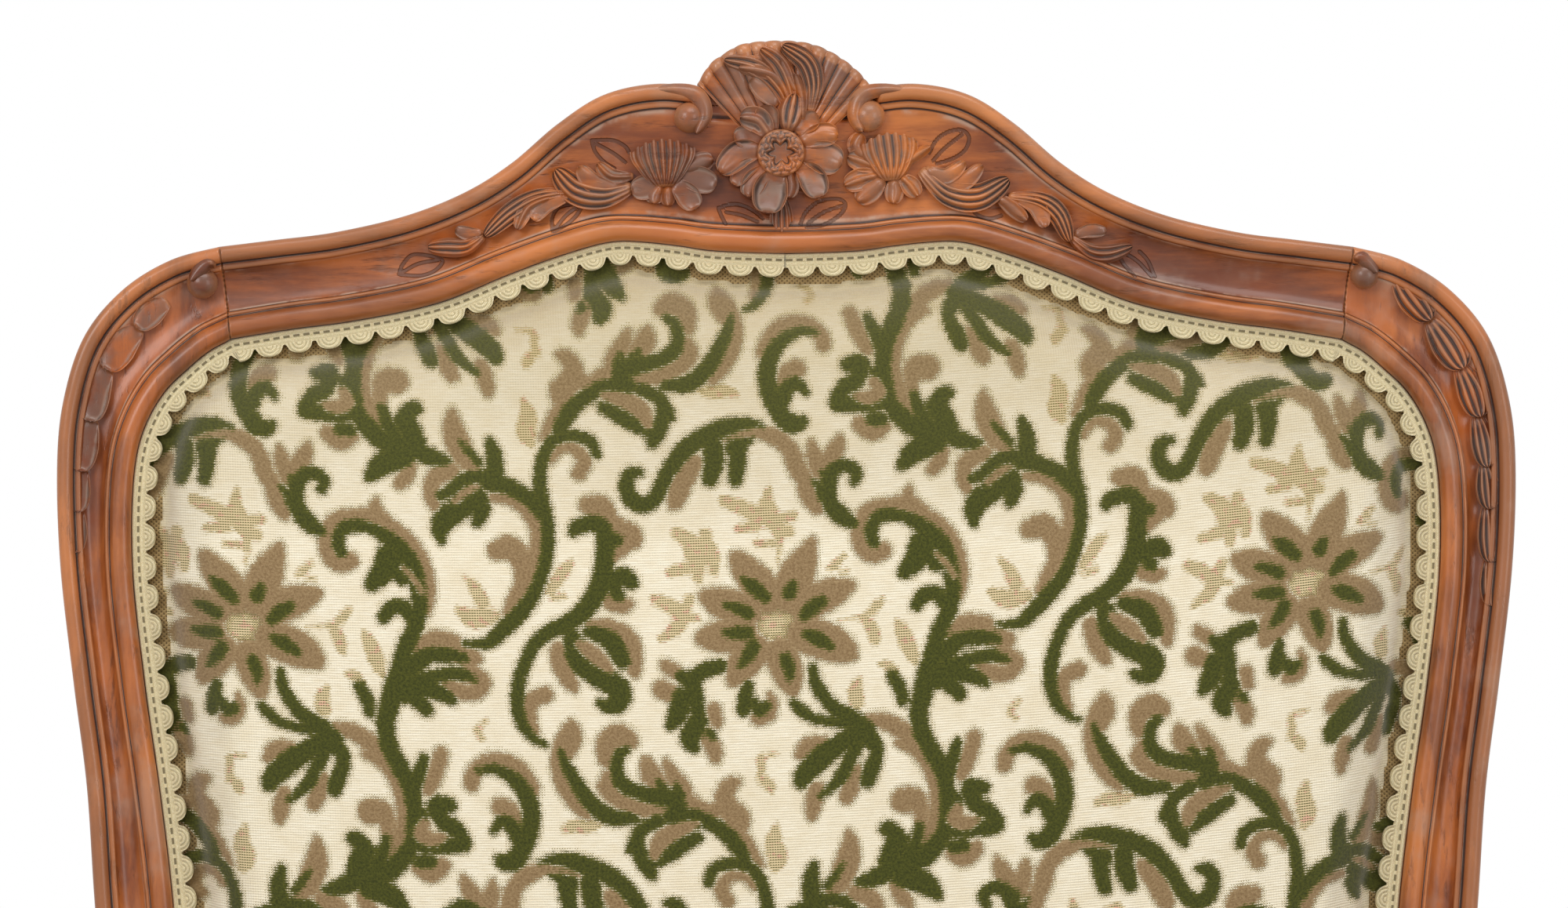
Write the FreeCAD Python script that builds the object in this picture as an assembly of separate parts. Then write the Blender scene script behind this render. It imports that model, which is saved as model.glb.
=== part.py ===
import FreeCAD, Part
import math
import os

# A French fauteuil in the Louis XV taste, with a flat back, carved crest and open arms.
# Millimetres. X runs across, +Y to the rear, +Z up. The chair faces -Y and stands on z = 0.

# Back frame
back_half_width = 310.0        # widest, at the shoulders
back_length = 700.0            # crest top to seat rails, along the lean
back_lean = 9.0                # degrees from upright
back_front = 13.5              # crest of the beads, proud of the frame's middle plane
back_rear = 14.0               # rear face, behind the middle plane
stile_width = 31.0
joint_width = 38.5             # width of the frame where crest rail and shoulder meet
joint_across = 241.5           # half distance between those two joints
crest_width = 68.5             # width of the crest rail in the middle
low_rail_width = 50.0
low_rail_height = 102.0        # underside of the low back rail above the seat rails
low_joint_across = 205.0

# Moulding of the back frame
outer_bead = 6.0
inner_bead = 9.0
quirk = 2.2                    # flat beside the outer bead
thin_line = 1.8                # raised line beside the inner bead
field = 8.8                    # level of the flats between the beads
cove_depth = 3.2
tack_ledge = 14.0              # width of the ledge that takes the tacks
ledge_front = 3.0
ledge_rear = -8.0
rear_round = 2.5               # chamfer along the rear edges
station_turn = 16.0            # degrees that the frame may turn between two sections

# Crest carving
shell_half_width = 37.0
shell_drop = 21.0              # shell top to the notches beside it
shell_front = 12.0
flutes = 9
flower_across = -2.2
flower_down = 48.3
flower_radius = 24.0
flower_petals = 10
flower_front = 17.0
seed_share = 0.4               # radius of a flower's seed head over the flower's own
bud_across = 51.0
bud_down = 62.0
bud_radius = 15.0
bud_petals = 6
bud_front = 14.5
volute_across = 38.0
volute_down = 32.5
volute_radius = 6.8
drop_across = 248.6
drop_down = 101.7
drop_radius = 6.0

# Seat frame
seat_rail_top = 350.0
rail_height = 62.0
rail_thickness = 27.0
tack_band = 22.0               # top of the rail that the seat cover hides
tack_rebate = 8.0
front_bow = 22.0
side_bow = 9.0
apron_rise = 9.0               # how far the rails' lower edges arch up
rail_bead = 9.0
rail_cove = 3.0
rail_set_in = 2.0              # show face of a rail behind the face of the leg beside it
block_half = 27.0              # half size of a front leg's square top
seat_corner = 16.0             # radius of the seat's front corners
block_across = 283.0           # from the middle to a front leg's centre
seat_depth = 470.0             # front leg centre to the back's foot
post_across = 253.0            # from the middle to a rear leg's centre, at the seat
post_half = 17.0

# Legs
knee_out = 7.0
ankle_half = 11.5
foot_half = 16.0
rear_rake = 52.0
rear_splay = 9.0
rear_foot_half = 14.0

# Arms
arm_height = 242.0             # arm's middle above the seat rails, at the back
arm_half_width = 14.0
arm_half_thick = 12.0
arm_spread = 324.0             # from the middle to an arm's centre, where it is widest
arm_fall = 26.0                # drop from the back to the front end
arm_set_back = 130.0           # front leg's centre back to the arm support's foot
support_half = 13.0

# Joints
fit = 0.15                     # clearance on each side of a tenon or peg
tenon_thick = 9.0
tenon_long = 26.0
tenon_root = 5.0               # length of a tenon inside its own rail
arm_tenon_long = 11.0
arm_tenon_root = 20.0
arm_tenon_half_up = 7.0
arm_tenon_half_side = 6.0
foot_tenon_half_side = 8.0
foot_tenon_half_thick = 4.0
dowel_radius = 5.0
dowel_long = 20.0
peg_radius = 3.0
peg_deep = 30.0                # pegs of the front legs
post_deep = 20.0               # pegs driven into the rear legs from the side
rear_deep = 24.0               # pegs driven into the rear legs from behind
peg_levels = (-0.6, 0.2)       # heights of the two pegs of a tenon, over half its height
corner_reach = 58.0            # legs of the glue blocks in the seat frame
corner_high = 36.0

# Upholstery
cloth = 1.6                    # thickness of the cut velvet
layer_gap = 0.25               # air between one layer and the next
sacking = 0.7
strap = 1.3
strap_width = 50.0
back_strap_across = 160.0      # from one upright strap of the back to the next
back_strap_down = 130.0
seat_strap_across = 95.0
seat_strap_deep = 100.0
gimp_width = 11.0
gimp_thick = 1.6
back_crown = 34.0              # swell of the inside back above its tacked edge
back_side_swell = 3.0
seat_crown = 92.0              # seat's highest point above the rails
seat_side_swell = 7.0
seat_edge = 52.0               # height of the seat's stitched edge
arm_pad_first = 3              # the arm pad's first and last row along the arm
arm_pad_last = 8
arm_pad_half = 17.0
arm_pad_high = 24.0
arm_gimp_high = 7.0

# Derived places
lean_sin = math.sin(math.radians(back_lean))
lean_cos = math.cos(math.radians(back_lean))
back_foot_y = seat_depth / 2.0
block_y = back_foot_y - seat_depth
rail_low = seat_rail_top - rail_height
band_low = seat_rail_top - tack_band
block_face_x = block_across + block_half
block_face_y = block_y - block_half
head_inset = tack_rebate + rail_set_in
tack_face_x = block_face_x - head_inset
tack_face_y = block_face_y + head_inset
front_inner_y = block_face_y + rail_set_in + rail_thickness
front_rail_half = block_across - block_half
side_front_y = block_y + block_half
side_rear_y = back_foot_y - post_half
side_inner_front = block_face_x - rail_set_in - rail_thickness
side_inner_rear = post_across + post_half - rail_thickness
rear_rail_front = back_foot_y - post_half + 4.0
rear_rail_back = rear_rail_front + rail_thickness
low_rail_top = back_length - low_rail_height - low_rail_width


def vec(x, y, z):
    return FreeCAD.Vector(x, y, z)


def on_back(x, down, proud):
    """A point of the leaning back: across, down from the crest top, proud of the middle plane."""
    up = back_length - down
    y = back_foot_y + up * lean_sin - proud * lean_cos
    z = seat_rail_top + up * lean_cos + proud * lean_sin
    return vec(x, y, z)


def arc_points(a, b, c, cuts):
    """Points after a on the arc from a through b to c, all three given as pairs."""
    ax, ay = a
    bx, by = b
    cx, cy = c
    turn = 2.0 * (ax * (by - cy) + bx * (cy - ay) + cx * (ay - by))
    sa = ax * ax + ay * ay
    sb = bx * bx + by * by
    sc = cx * cx + cy * cy
    mx = (sa * (by - cy) + sb * (cy - ay) + sc * (ay - by)) / turn
    my = (sa * (cx - bx) + sb * (ax - cx) + sc * (bx - ax)) / turn
    radius = math.hypot(ax - mx, ay - my)
    start = math.atan2(ay - my, ax - mx)
    sweep = math.atan2(cy - my, cx - mx) - start
    full = 2.0 * math.pi
    sweep = sweep % full if turn > 0.0 else sweep % full - full
    spots = [start + sweep * (k + 1) / cuts for k in range(cuts)]
    return [(mx + radius * math.cos(t), my + radius * math.sin(t)) for t in spots]


def outline(steps, place):
    """Placed points of a closed outline: a start, then [end] for a line, [middle, end, cuts] for an arc."""
    flat = [steps[0]]
    for step in steps[1:]:
        if len(step) == 1:
            flat.append(step[0])
        else:
            flat = flat + arc_points(flat[-1], step[0], step[1], step[2])
    if math.dist(flat[0], flat[-1]) < 1e-6:
        flat.pop()
    return [place(u, v) for u, v in flat]


def rounded(place, half_u, half_v, radius, cuts=2):
    """Placed points of a rectangle with rounded corners."""
    u, v, r = half_u, half_v, radius
    k = r * (1.0 - math.sqrt(0.5))
    steps = [
        (-u + r, -v),
        [(u - r, -v)],
        [(u - k, -v + k), (u, -v + r), cuts],
        [(u, v - r)],
        [(u - k, v - k), (u - r, v), cuts],
        [(-u + r, v)],
        [(-u + k, v - k), (-u, v - r), cuts],
        [(-u, -v + r)],
        [(-u + k, -v + k), (-u + r, -v), cuts],
    ]
    return outline(steps, place)


def level_place(cx, cy, z):
    return lambda u, v: vec(cx + u, cy + v, z)


def flat_face(points):
    return Part.Face(Part.makePolygon(points + [points[0]]))


def quad(a, b, c, d):
    """The face or the two faces between four points."""
    normal = (b - a).cross(c - a)
    if normal.Length > 1e-6 and abs((d - a).dot(normal.normalize())) < 1e-7:
        return [flat_face([a, b, c, d])]
    faces = []
    for corners in ([a, b, c], [a, c, d]):
        if (corners[1] - corners[0]).cross(corners[2] - corners[0]).Length > 1e-6:
            faces.append(flat_face(corners))
    return faces


def loft(sections):
    """A solid through sections of equally many points, straight from one section to the next."""
    faces = [flat_face(sections[0]), flat_face(sections[-1])]
    count = len(sections[0])
    for low, high in zip(sections, sections[1:]):
        for i in range(count):
            j = (i + 1) % count
            faces = faces + quad(low[i], low[j], high[j], high[i])
    shell = Part.Shell(faces)
    shell.sewShape()
    solid = Part.Solid(Part.Shell(shell.Faces))
    if solid.Volume < 0.0:
        solid.reverse()
    return solid


def row_at(rows, place):
    """The row at a place between the given rows, on a smooth curve through them."""
    last = len(rows) - 1
    index = min(int(place), last - 1)
    t = place - index
    a = rows[max(0, index - 1)]
    b = rows[index]
    c = rows[index + 1]
    d = rows[min(last, index + 2)]
    weights = (
        0.5 * (-t + 2.0 * t * t - t ** 3),
        0.5 * (2.0 - 5.0 * t * t + 3.0 * t ** 3),
        0.5 * (t + 4.0 * t * t - 3.0 * t ** 3),
        0.5 * (t ** 3 - t * t),
    )
    return tuple(
        weights[0] * p + weights[1] * q + weights[2] * r + weights[3] * s
        for p, q, r, s in zip(a, b, c, d)
    )


def refined(rows, parts_of):
    """The given rows with parts_of(index) steps after each."""
    result = [rows[0]]
    for index in range(len(rows) - 1):
        parts = parts_of(index)
        for part in range(1, parts + 1):
            result.append(row_at(rows, index + part / parts))
    return result


def prism(points, direction):
    """A straight-sided solid on a closed polygon."""
    return flat_face(points).extrude(direction)


def beam(start, along, up, length, half_up, half_side):
    """A square-edged bar from start, its section set by the two directions."""
    side = along.cross(up).normalize()
    corners = [
        start + up * half_up + side * half_side,
        start - up * half_up + side * half_side,
        start - up * half_up - side * half_side,
        start + up * half_up - side * half_side,
    ]
    return prism(corners, along * length)


def peg(middle, along, length, radius=peg_radius):
    """A riven six-sided peg about its middle point."""
    side = along.cross(vec(0.3, 0.2, 1.0)).normalize()
    up = along.cross(side).normalize()
    points = []
    for turn in range(6):
        angle = math.radians(60.0 * turn)
        offset = side * (radius * math.cos(angle)) + up * (radius * math.sin(angle))
        points.append(middle - along * (length / 2.0) + offset)
    return prism(points, along * length)


def ring(middle, side, up, radius, sides):
    """Points of a regular polygon about a middle point."""
    turns = [2.0 * math.pi * k / sides for k in range(sides)]
    return [middle + side * (radius * math.cos(t)) + up * (radius * math.sin(t)) for t in turns]


def taper(start, tip, start_radius, tip_radius, sides=6):
    """A tapered bar, used to cut a flute."""
    ahead = (tip - start).normalize()
    side = ahead.cross(vec(0.3, 0.2, 1.0)).normalize()
    up = ahead.cross(side).normalize()
    return loft([ring(start, side, up, start_radius, sides), ring(tip, side, up, tip_radius, sides)])


def dome(centre, normal, radius, low, sides, rings):
    """A ball cut off flat below the level low, low being measured from its centre."""
    side = normal.cross(vec(1, 0, 0)).normalize()
    up = normal.cross(side).normalize()
    first = math.asin(low / radius)
    loops = []
    for k in range(rings + 1):
        angle = first + (math.pi * 0.47 - first) * k / rings
        level = centre + normal * (radius * math.sin(angle))
        loops.append(ring(level, side, up, radius * math.cos(angle), sides))
    return loft(loops)


def mirrored(shape):
    return shape.mirror(vec(0, 0, 0), vec(1, 0, 0))


# Outlines of the back frame: (across, down, direction of the section in degrees, width).
# The direction turns from +X towards down: 90 points down and 180 points to the middle.

def across(share):
    return share * back_half_width


def crest_stations():
    """The right half of the crest rail, from the middle to its joint with the shoulder."""
    middle = crest_width
    neck = joint_width
    return [
        (0.0, shell_drop + 1.0, 90.0, middle),
        (across(0.10), shell_drop + 0.5, 91.5, middle - 0.5),
        (across(0.177), shell_drop - 1.7, 97.5, middle),
        (across(0.25), shell_drop + 3.0, 105.5, middle - 4.5),
        (across(0.313), shell_drop + 15.3, 114.0, middle - 14.5),
        (across(0.377), shell_drop + 32.2, 120.0, middle - 24.8),
        (across(0.442), shell_drop + 44.7, 117.5, neck),
        (across(0.523), shell_drop + 54.6, 110.0, neck),
        (across(0.62), shell_drop + 61.6, 102.5, neck - 1.0),
        (across(0.70), shell_drop + 64.8, 99.0, neck - 1.0),
        (joint_across, shell_drop + 67.8, 96.7, neck),
    ]


def post_stations():
    """The right side from the crest joint, round the shoulder, down the stile and under."""
    foot = back_length - low_rail_height
    waist = stile_width
    return [
        (joint_across, shell_drop + 67.8, 96.7, joint_width),
        (across(0.846), shell_drop + 73.5, 113.0, joint_width + 2.5),
        (across(0.911), shell_drop + 86.0, 129.0, joint_width + 4.0),
        (across(0.963), shell_drop + 105.5, 146.0, joint_width + 2.0),
        (across(0.991), shell_drop + 132.0, 163.5, waist + 4.5),
        (across(1.0), shell_drop + 161.0, 176.0, waist + 0.7),
        (across(0.995), shell_drop + 204.0, 180.0, waist - 1.6),
        (across(0.977), shell_drop + 253.0, 180.0, waist - 2.0),
        (across(0.959), shell_drop + 297.0, 180.0, waist - 1.4),
        (across(0.949), shell_drop + 343.0, 180.0, waist + 1.0),
        (across(0.935), foot - 178.0, 180.0, waist + 1.0),
        (across(0.911), foot - 122.0, 182.0, waist + 1.0),
        (across(0.897), foot - 86.0, 191.0, waist + 1.5),
        (across(0.886), foot - 58.0, 205.0, waist + 4.0),
        (across(0.860), foot - 29.0, 229.0, waist + 10.5),
        (across(0.790), foot - 7.5, 252.0, waist + 15.5),
        (low_joint_across + 8.0, foot, 266.0, low_rail_width - 0.5),
        (low_joint_across, foot + 1.0, 268.0, low_rail_width),
    ]


def low_rail_stations():
    """The right half of the low back rail, from its joint to the middle."""
    foot = back_length - low_rail_height
    return [
        (low_joint_across, foot + 1.0, 268.0, low_rail_width),
        (low_joint_across * 0.72, foot + 2.0, 269.0, low_rail_width + 1.0),
        (low_joint_across * 0.36, foot - 4.0, 270.0, low_rail_width),
        (0.0, foot - 9.0, 270.0, low_rail_width),
    ]


def turned(stations):
    """More stations where the frame turns, none where it runs straight."""
    return refined(stations, lambda i: 1 + int(abs(stations[i + 1][2] - stations[i][2]) / station_turn))


def left_of(station):
    x, down, angle, width = station
    return (-x, down, 180.0 - angle, width)


def frame_section(station):
    """The moulded section of the back frame at one station."""
    x, down, angle, width = station
    dx = math.cos(math.radians(angle))
    dd = math.sin(math.radians(angle))

    def place(t, proud):
        return on_back(x + t * dx, down + t * dd, proud)

    cove_start = outer_bead + quirk
    cove_end = width - inner_bead - thin_line
    steps = [
        (0.0, rear_round - back_rear),
        [(0.0, field - 0.8)],
        [(outer_bead * 0.45, back_front), (outer_bead, field + 0.7), 3],
        [(cove_start, field - 0.2)],
        [((cove_start + cove_end) / 2.0, field - cove_depth), (cove_end, field - 0.2), 2],
        [(cove_end + thin_line * 0.5, field + 1.2), (cove_end + thin_line, field + 0.4), 2],
        [(width - inner_bead * 0.5, back_front), (width, field - 0.8), 3],
        [(width, ledge_front)],
        [(width + tack_ledge, ledge_front)],
        [(width + tack_ledge, ledge_rear)],
        [(width, ledge_rear)],
        [(width, rear_round - back_rear)],
        [(width - rear_round, -back_rear)],
        [(rear_round, -back_rear)],
        [(0.0, rear_round - back_rear)],
    ]
    return outline(steps, place)


def sight_point(station, inward):
    """The place where the wood meets the cloth, moved towards the pad by inward."""
    x, down, angle, width = station
    reach = width + inward
    return (x + reach * math.cos(math.radians(angle)), down + reach * math.sin(math.radians(angle)))


def sight_loop(inward, close=True):
    """All places round the upholstered opening, clockwise from the top middle."""
    post_part = turned(post_stations()) if close else post_stations()
    right = crest_stations() + post_part[1:] + low_rail_stations()[1:]
    left = [left_of(s) for s in reversed(right[1:-1])]
    return [sight_point(s, inward) for s in right + left]


def tenon(station, sense, long, thick, grow=0.0):
    """A tenon at a joint of the back frame, square to the section."""
    x, down, angle, width = station
    dx = math.cos(math.radians(angle))
    dd = math.sin(math.radians(angle))
    middle = width * 0.52
    root = on_back(x + middle * dx, down + middle * dd, 0.0)
    ahead = on_back(x + middle * dx + sense * dd, down + middle * dd - sense * dx, 0.0) - root
    up = on_back(x + middle * dx, down + middle * dd, 1.0) - root
    start = root - ahead * 6.0
    return beam(start, ahead, up, long + 6.0 + grow, thick / 2.0 + grow, width * 0.3 + grow)


def joint_peg_spot(station, sense):
    """Middle and direction of a peg through a tenon of the back frame, driven from the rear."""
    x, down, angle, width = station
    dx = math.cos(math.radians(angle))
    dd = math.sin(math.radians(angle))
    across_at = x + width * 0.5 * dx + sense * 12.0 * dd
    down_at = down + width * 0.5 * dd - sense * 12.0 * dx
    rear = on_back(across_at, down_at, -back_rear)
    front = on_back(across_at, down_at, ledge_front)
    return (rear + front) * 0.5, (front - rear).normalize(), (front - rear).Length


# Carving on the crest

def shell():
    """The fluted shell that crowns the crest rail."""
    w = shell_half_width
    d = shell_drop
    root = flower_down + 12.0
    steps = [
        (-w * 0.5, root),
        [(-w, d)],
        [(-w * 0.88, d * 0.55), (-w * 0.7, d * 0.26), 2],
        [(-w * 0.38, d * 0.04), (0.0, 0.0), 4],
        [(w * 0.38, d * 0.04), (w * 0.7, d * 0.26), 4],
        [(w * 0.88, d * 0.55), (w, d), 2],
        [(w * 0.5, root)],
        [(-w * 0.5, root)],
    ]
    rear = outline(steps, lambda x, down: on_back(x, down, 1.0 - back_rear))
    body = prism(rear, on_back(0, 0, shell_front) - on_back(0, 0, 1.0 - back_rear))
    hinge = root + 6.0
    for index in range(flutes):
        spread = math.radians(-58.0 + 116.0 * index / (flutes - 1))
        reach = hinge + 8.0
        start = on_back(0.0, hinge, shell_front + 1.0)
        tip = on_back(reach * math.sin(spread), hinge - reach * math.cos(spread), shell_front + 1.0)
        body = body.cut(taper(start, tip, 0.6, reach * 0.062))
    return body


def rosette(x, down, radius, petals, front, base):
    """A ring of rounded petals about a seed head, standing on the rail."""
    centre = on_back(x, down, 0.0)
    normal = (on_back(x, down, 1.0) - centre).normalize()
    lobe = math.pi / petals
    steps = []
    for index in range(petals):
        low = 2.0 * lobe * index
        a = (radius * 0.8 * math.cos(low), radius * 0.8 * math.sin(low))
        b = (radius * 1.04 * math.cos(low + lobe), radius * 1.04 * math.sin(low + lobe))
        c = (radius * 0.8 * math.cos(low + 2.0 * lobe), radius * 0.8 * math.sin(low + 2.0 * lobe))
        if not steps:
            steps.append(a)
        steps.append([b, c, 3])
    rear = outline(steps, lambda u, v: on_back(x + u, down + v, base))
    body = prism(rear, normal * (front - base))
    for index in range(petals):
        angle = 2.0 * lobe * index
        tip = on_back(x + radius * 1.1 * math.cos(angle), down + radius * 1.1 * math.sin(angle), front)
        start = on_back(x, down, front)
        body = body.cut(taper(start, tip, 0.5, radius * 0.15))
    hollow = radius * 1.5
    above = centre + normal * (front + hollow - 3.2)
    body = body.cut(dome(above, normal * -1.0, hollow, hollow * 0.7, 12, 3))
    head = radius * seed_share
    return body.fuse(dome(centre + normal * (front - head * 0.8), normal, head, -head * 0.5, 12, 4))


def ball(x, down, radius):
    """A small carved ball, sunk into the cove of the frame."""
    centre = on_back(x, down, field)
    normal = (on_back(x, down, field + 1.0) - centre).normalize()
    return dome(centre, normal, radius, -radius * 0.5, 12, 4)


# Seat rails: each section has its inner face at 0 and its show face at depth.

def rail_section(place, depth, low):
    """A seat rail's section: lower bead, cove, thin line and the rebate for the cover."""
    top = seat_rail_top
    band = band_low
    bead_top = low + rail_bead
    back = depth - 4.5
    steps = [
        (0.0, low),
        [(depth - 4.0, low)],
        [(depth, low + rail_bead * 0.5), (depth - 4.0, bead_top), 4],
        [(back, bead_top + 1.5)],
        [(back - rail_cove, (bead_top + band) / 2.0), (back, band - 4.5), 3],
        [(depth - 2.0, band - 2.2), (depth - 4.5, band), 3],
        [(depth - tack_rebate, band)],
        [(depth - tack_rebate, top)],
        [(0.0, top)],
        [(0.0, low)],
    ]
    return outline(steps, place)


def front_bow_at(x):
    """How far the front rail's show face stands out at x."""
    return front_bow * (1.0 + math.cos(math.pi * min(1.0, abs(x) / front_rail_half))) / 2.0


def side_bow_at(share):
    return side_bow * math.sin(math.pi * share)


def front_rail():
    wires = []
    for index in range(9):
        x = front_rail_half * (index / 4.0 - 1.0)
        share = abs(x) / front_rail_half
        low = rail_low + apron_rise * math.sin(math.pi * share)
        depth = rail_thickness + front_bow_at(x)
        wires.append(rail_section(lambda p, z, x=x: vec(x, front_inner_y - p, z), depth, low))
    return loft(wires)


def side_rail():
    wires = []
    for index in range(6):
        share = index / 5.0
        y = side_front_y + (side_rear_y - side_front_y) * share
        inner = side_inner_front + (side_inner_rear - side_inner_front) * share
        low = rail_low + apron_rise * math.sin(math.pi * share)
        depth = rail_thickness + side_bow_at(share)
        wires.append(rail_section(lambda p, z, y=y, i=inner: vec(i + p, y, z), depth, low))
    return loft(wires)


def rear_rail():
    half = post_across - post_half
    points = [
        vec(-half, rear_rail_front, rail_low),
        vec(half, rear_rail_front, rail_low),
        vec(half, rear_rail_back, rail_low),
        vec(-half, rear_rail_back, rail_low),
    ]
    return prism(points, vec(0, 0, rail_height))


# Legs

def front_leg():
    """The right front leg: square block, knee, ankle and scrolled foot."""
    block = loft([
        rounded(level_place(block_across, block_y, rail_low), block_half, block_half, 5.0),
        rounded(level_place(block_across, block_y, band_low), block_half, block_half, 5.0),
    ])
    shift = head_inset / 2.0
    head_half = block_half - shift
    head = loft([
        rounded(level_place(block_across - shift, block_y + shift, z), head_half, head_half, seat_corner)
        for z in (band_low - 1.0, seat_rail_top)
    ])
    diagonal = math.sqrt(0.5)
    levels = [
        (rail_low + 1.0, block_half - 0.5, 0.0, 5.0),
        (rail_low - 24.0, block_half - 1.5, knee_out * 0.8, 7.0),
        (rail_low - 52.0, block_half - 5.0, knee_out, 8.0),
        (rail_low * 0.66, ankle_half + 7.0, knee_out * 0.4, 8.0),
        (rail_low * 0.45, ankle_half + 2.5, -knee_out * 0.8, 6.5),
        (rail_low * 0.24, ankle_half, -knee_out * 1.5, 5.5),
        (rail_low * 0.135, ankle_half + 1.0, -knee_out * 1.0, 5.5),
        (rail_low * 0.07, foot_half, -knee_out * 0.1, 7.0),
        (rail_low * 0.02, foot_half + 0.5, knee_out * 0.4, 8.0),
        (0.0, foot_half - 2.0, knee_out * 0.3, 8.0),
    ]
    wires = []
    for z, half, out, radius in levels:
        place = level_place(block_across + out * diagonal, block_y - out * diagonal, z)
        wires.append(rounded(place, half, half, radius))
    leg = loft(wires)
    return block.fuse([head, leg]).removeSplitter()


def post_levels():
    """Middle and half size of the rear leg from the low back rail down to the floor."""
    high = low_rail_height + low_rail_width * 0.9
    top_x = across(0.872) - stile_width * 0.5
    calf = post_half - 1.5
    ankle = rear_foot_half - 1.0
    return [
        (seat_rail_top + high * lean_cos, top_x, high * lean_sin + 2.5, 14.0, 9.5),
        (seat_rail_top + high * 0.62 * lean_cos, top_x - 1.0, high * 0.62 * lean_sin, 16.0, 13.0),
        (seat_rail_top, post_across, 0.0, post_half, post_half),
        (rail_low, post_across, 0.0, post_half, post_half),
        (rail_low * 0.68, post_across + rear_splay * 0.15, rear_rake * 0.16, calf, calf),
        (rail_low * 0.34, post_across + rear_splay * 0.5, rear_rake * 0.48, rear_foot_half, rear_foot_half),
        (rail_low * 0.08, post_across + rear_splay * 0.9, rear_rake * 0.9, ankle, ankle),
        (0.0, post_across + rear_splay, rear_rake, rear_foot_half, rear_foot_half),
    ]


def post_leg(grow=0.0):
    wires = []
    for z, x, rear, half_x, half_y in post_levels():
        place = level_place(x, back_foot_y + rear, z)
        wires.append(rounded(place, half_x + grow, half_y + grow, 5.0))
    return loft(wires)


# Arms

def support_foot_y():
    return block_y + arm_set_back


def arm_path():
    """Middle points of the right arm, from inside the stile to the scrolled end."""
    root_up = arm_height
    root_x = across(0.918) - stile_width * 0.5
    root = on_back(root_x, back_length - root_up, 2.0)
    front_y = support_foot_y() - 22.0
    long = root.y - front_y
    spread = arm_spread - root_x
    return [
        root,
        vec(root_x + spread * 0.1, root.y - long * 0.1, root.z + 2.0),
        vec(root_x + spread * 0.36, root.y - long * 0.27, root.z + 4.0),
        vec(root_x + spread * 0.7, root.y - long * 0.48, root.z + 2.0),
        vec(root_x + spread * 0.94, root.y - long * 0.7, root.z - arm_fall * 0.3),
        vec(root_x + spread, root.y - long * 0.88, root.z - arm_fall * 0.75),
        vec(root_x + spread * 0.98, root.y - long, root.z - arm_fall),
        vec(root_x + spread * 0.96, root.y - long - 12.0, root.z - arm_fall - 4.0),
    ]


def arm_rows():
    """Middle, half width, half thickness and edge radius along the right arm."""
    w = arm_half_width
    t = arm_half_thick
    sizes = [
        (w - 2.0, t, 5.0),
        (w - 1.0, t, 6.0),
        (w, t, 7.0),
        (w + 1.0, t, 7.0),
        (w + 1.0, t, 7.5),
        (w + 1.0, t + 1.0, 8.0),
        (w + 2.5, t + 3.0, 9.0),
        (w - 1.0, t - 1.0, 8.0),
    ]
    rows = [(p.x, p.y, p.z) + size for p, size in zip(arm_path(), sizes)]
    return refined(rows, lambda index: 2)


def arm_place(rows, index, shift=0.0):
    """Placing function across the arm at one of its rows, moved along the arm by shift."""
    point = vec(*rows[index][:3])
    before = vec(*rows[max(0, index - 1)][:3])
    after = vec(*rows[min(len(rows) - 1, index + 1)][:3])
    ahead = (after - before).normalize()
    side = ahead.cross(vec(0, 0, 1)).normalize()
    up = side.cross(ahead).normalize()
    return lambda u, v: point + ahead * shift + side * u + up * v


def arm():
    rows = arm_rows()
    return loft([rounded(arm_place(rows, i), r[3], r[4], r[5]) for i, r in enumerate(rows)])


def support_path():
    """Middle points of the right arm support, from the side rail up into the arm."""
    share = (support_foot_y() - side_front_y) / (side_rear_y - side_front_y)
    inner = side_inner_front + (side_inner_rear - side_inner_front) * share
    face = inner + rail_thickness + side_bow_at(share)
    foot = vec(face - support_half, support_foot_y(), band_low)
    top = arm_path()[5]
    rise = top.z - band_low
    swing = top.x - foot.x
    return [
        foot,
        vec(foot.x + swing * 0.04, foot.y - 4.0, band_low + rise * 0.16),
        vec(foot.x + swing * 0.3, foot.y - 16.0, band_low + rise * 0.36),
        vec(foot.x + swing * 0.66, foot.y - 18.0, band_low + rise * 0.56),
        vec(foot.x + swing * 0.93, foot.y - 4.0, band_low + rise * 0.78),
        vec(top.x, top.y, top.z),
    ]


def arm_support(grow=0.0):
    h = support_half + grow
    halves = [(h, h), (h, h), (h - 2.0, h - 1.5), (h - 3.0, h - 2.0), (h - 2.5, h - 1.5), (h - 1.5, h - 1.0)]
    wires = []
    for point, half in zip(support_path(), halves):
        wires.append(rounded(level_place(point.x, point.y, point.z), half[0], half[1], 5.0))
    return loft(wires)


# Upholstery of the back

def placed(points, place):
    return [place(*p) for p in points]


def flat_panel(points, low, high):
    """A thin panel of the back between two levels."""
    return prism(placed(points, lambda x, d: on_back(x, d, low)), on_back(0, 0, high) - on_back(0, 0, low))


def crowned_back(base, crown, edge, grow):
    """A swelling pad: its outline is drawn in as it rises."""
    rim = sight_loop(edge - grow, False)
    middle = (0.0, (crest_width + shell_drop + low_rail_top) / 2.0)
    levels = [
        (0.0, 1.0),
        (0.25, 1.0 + back_side_swell / back_half_width),
        (0.62, 0.93),
        (0.9, 0.68),
        (1.0, 0.25),
    ]
    wires = []
    for rise, share in levels:
        points = [(middle[0] + (x - middle[0]) * share, middle[1] + (d - middle[1]) * share) for x, d in rim]
        level = base + (crown + grow) * rise
        wires.append(placed(points, lambda x, d, n=level: on_back(x, d, n)))
    return loft(wires)


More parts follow.
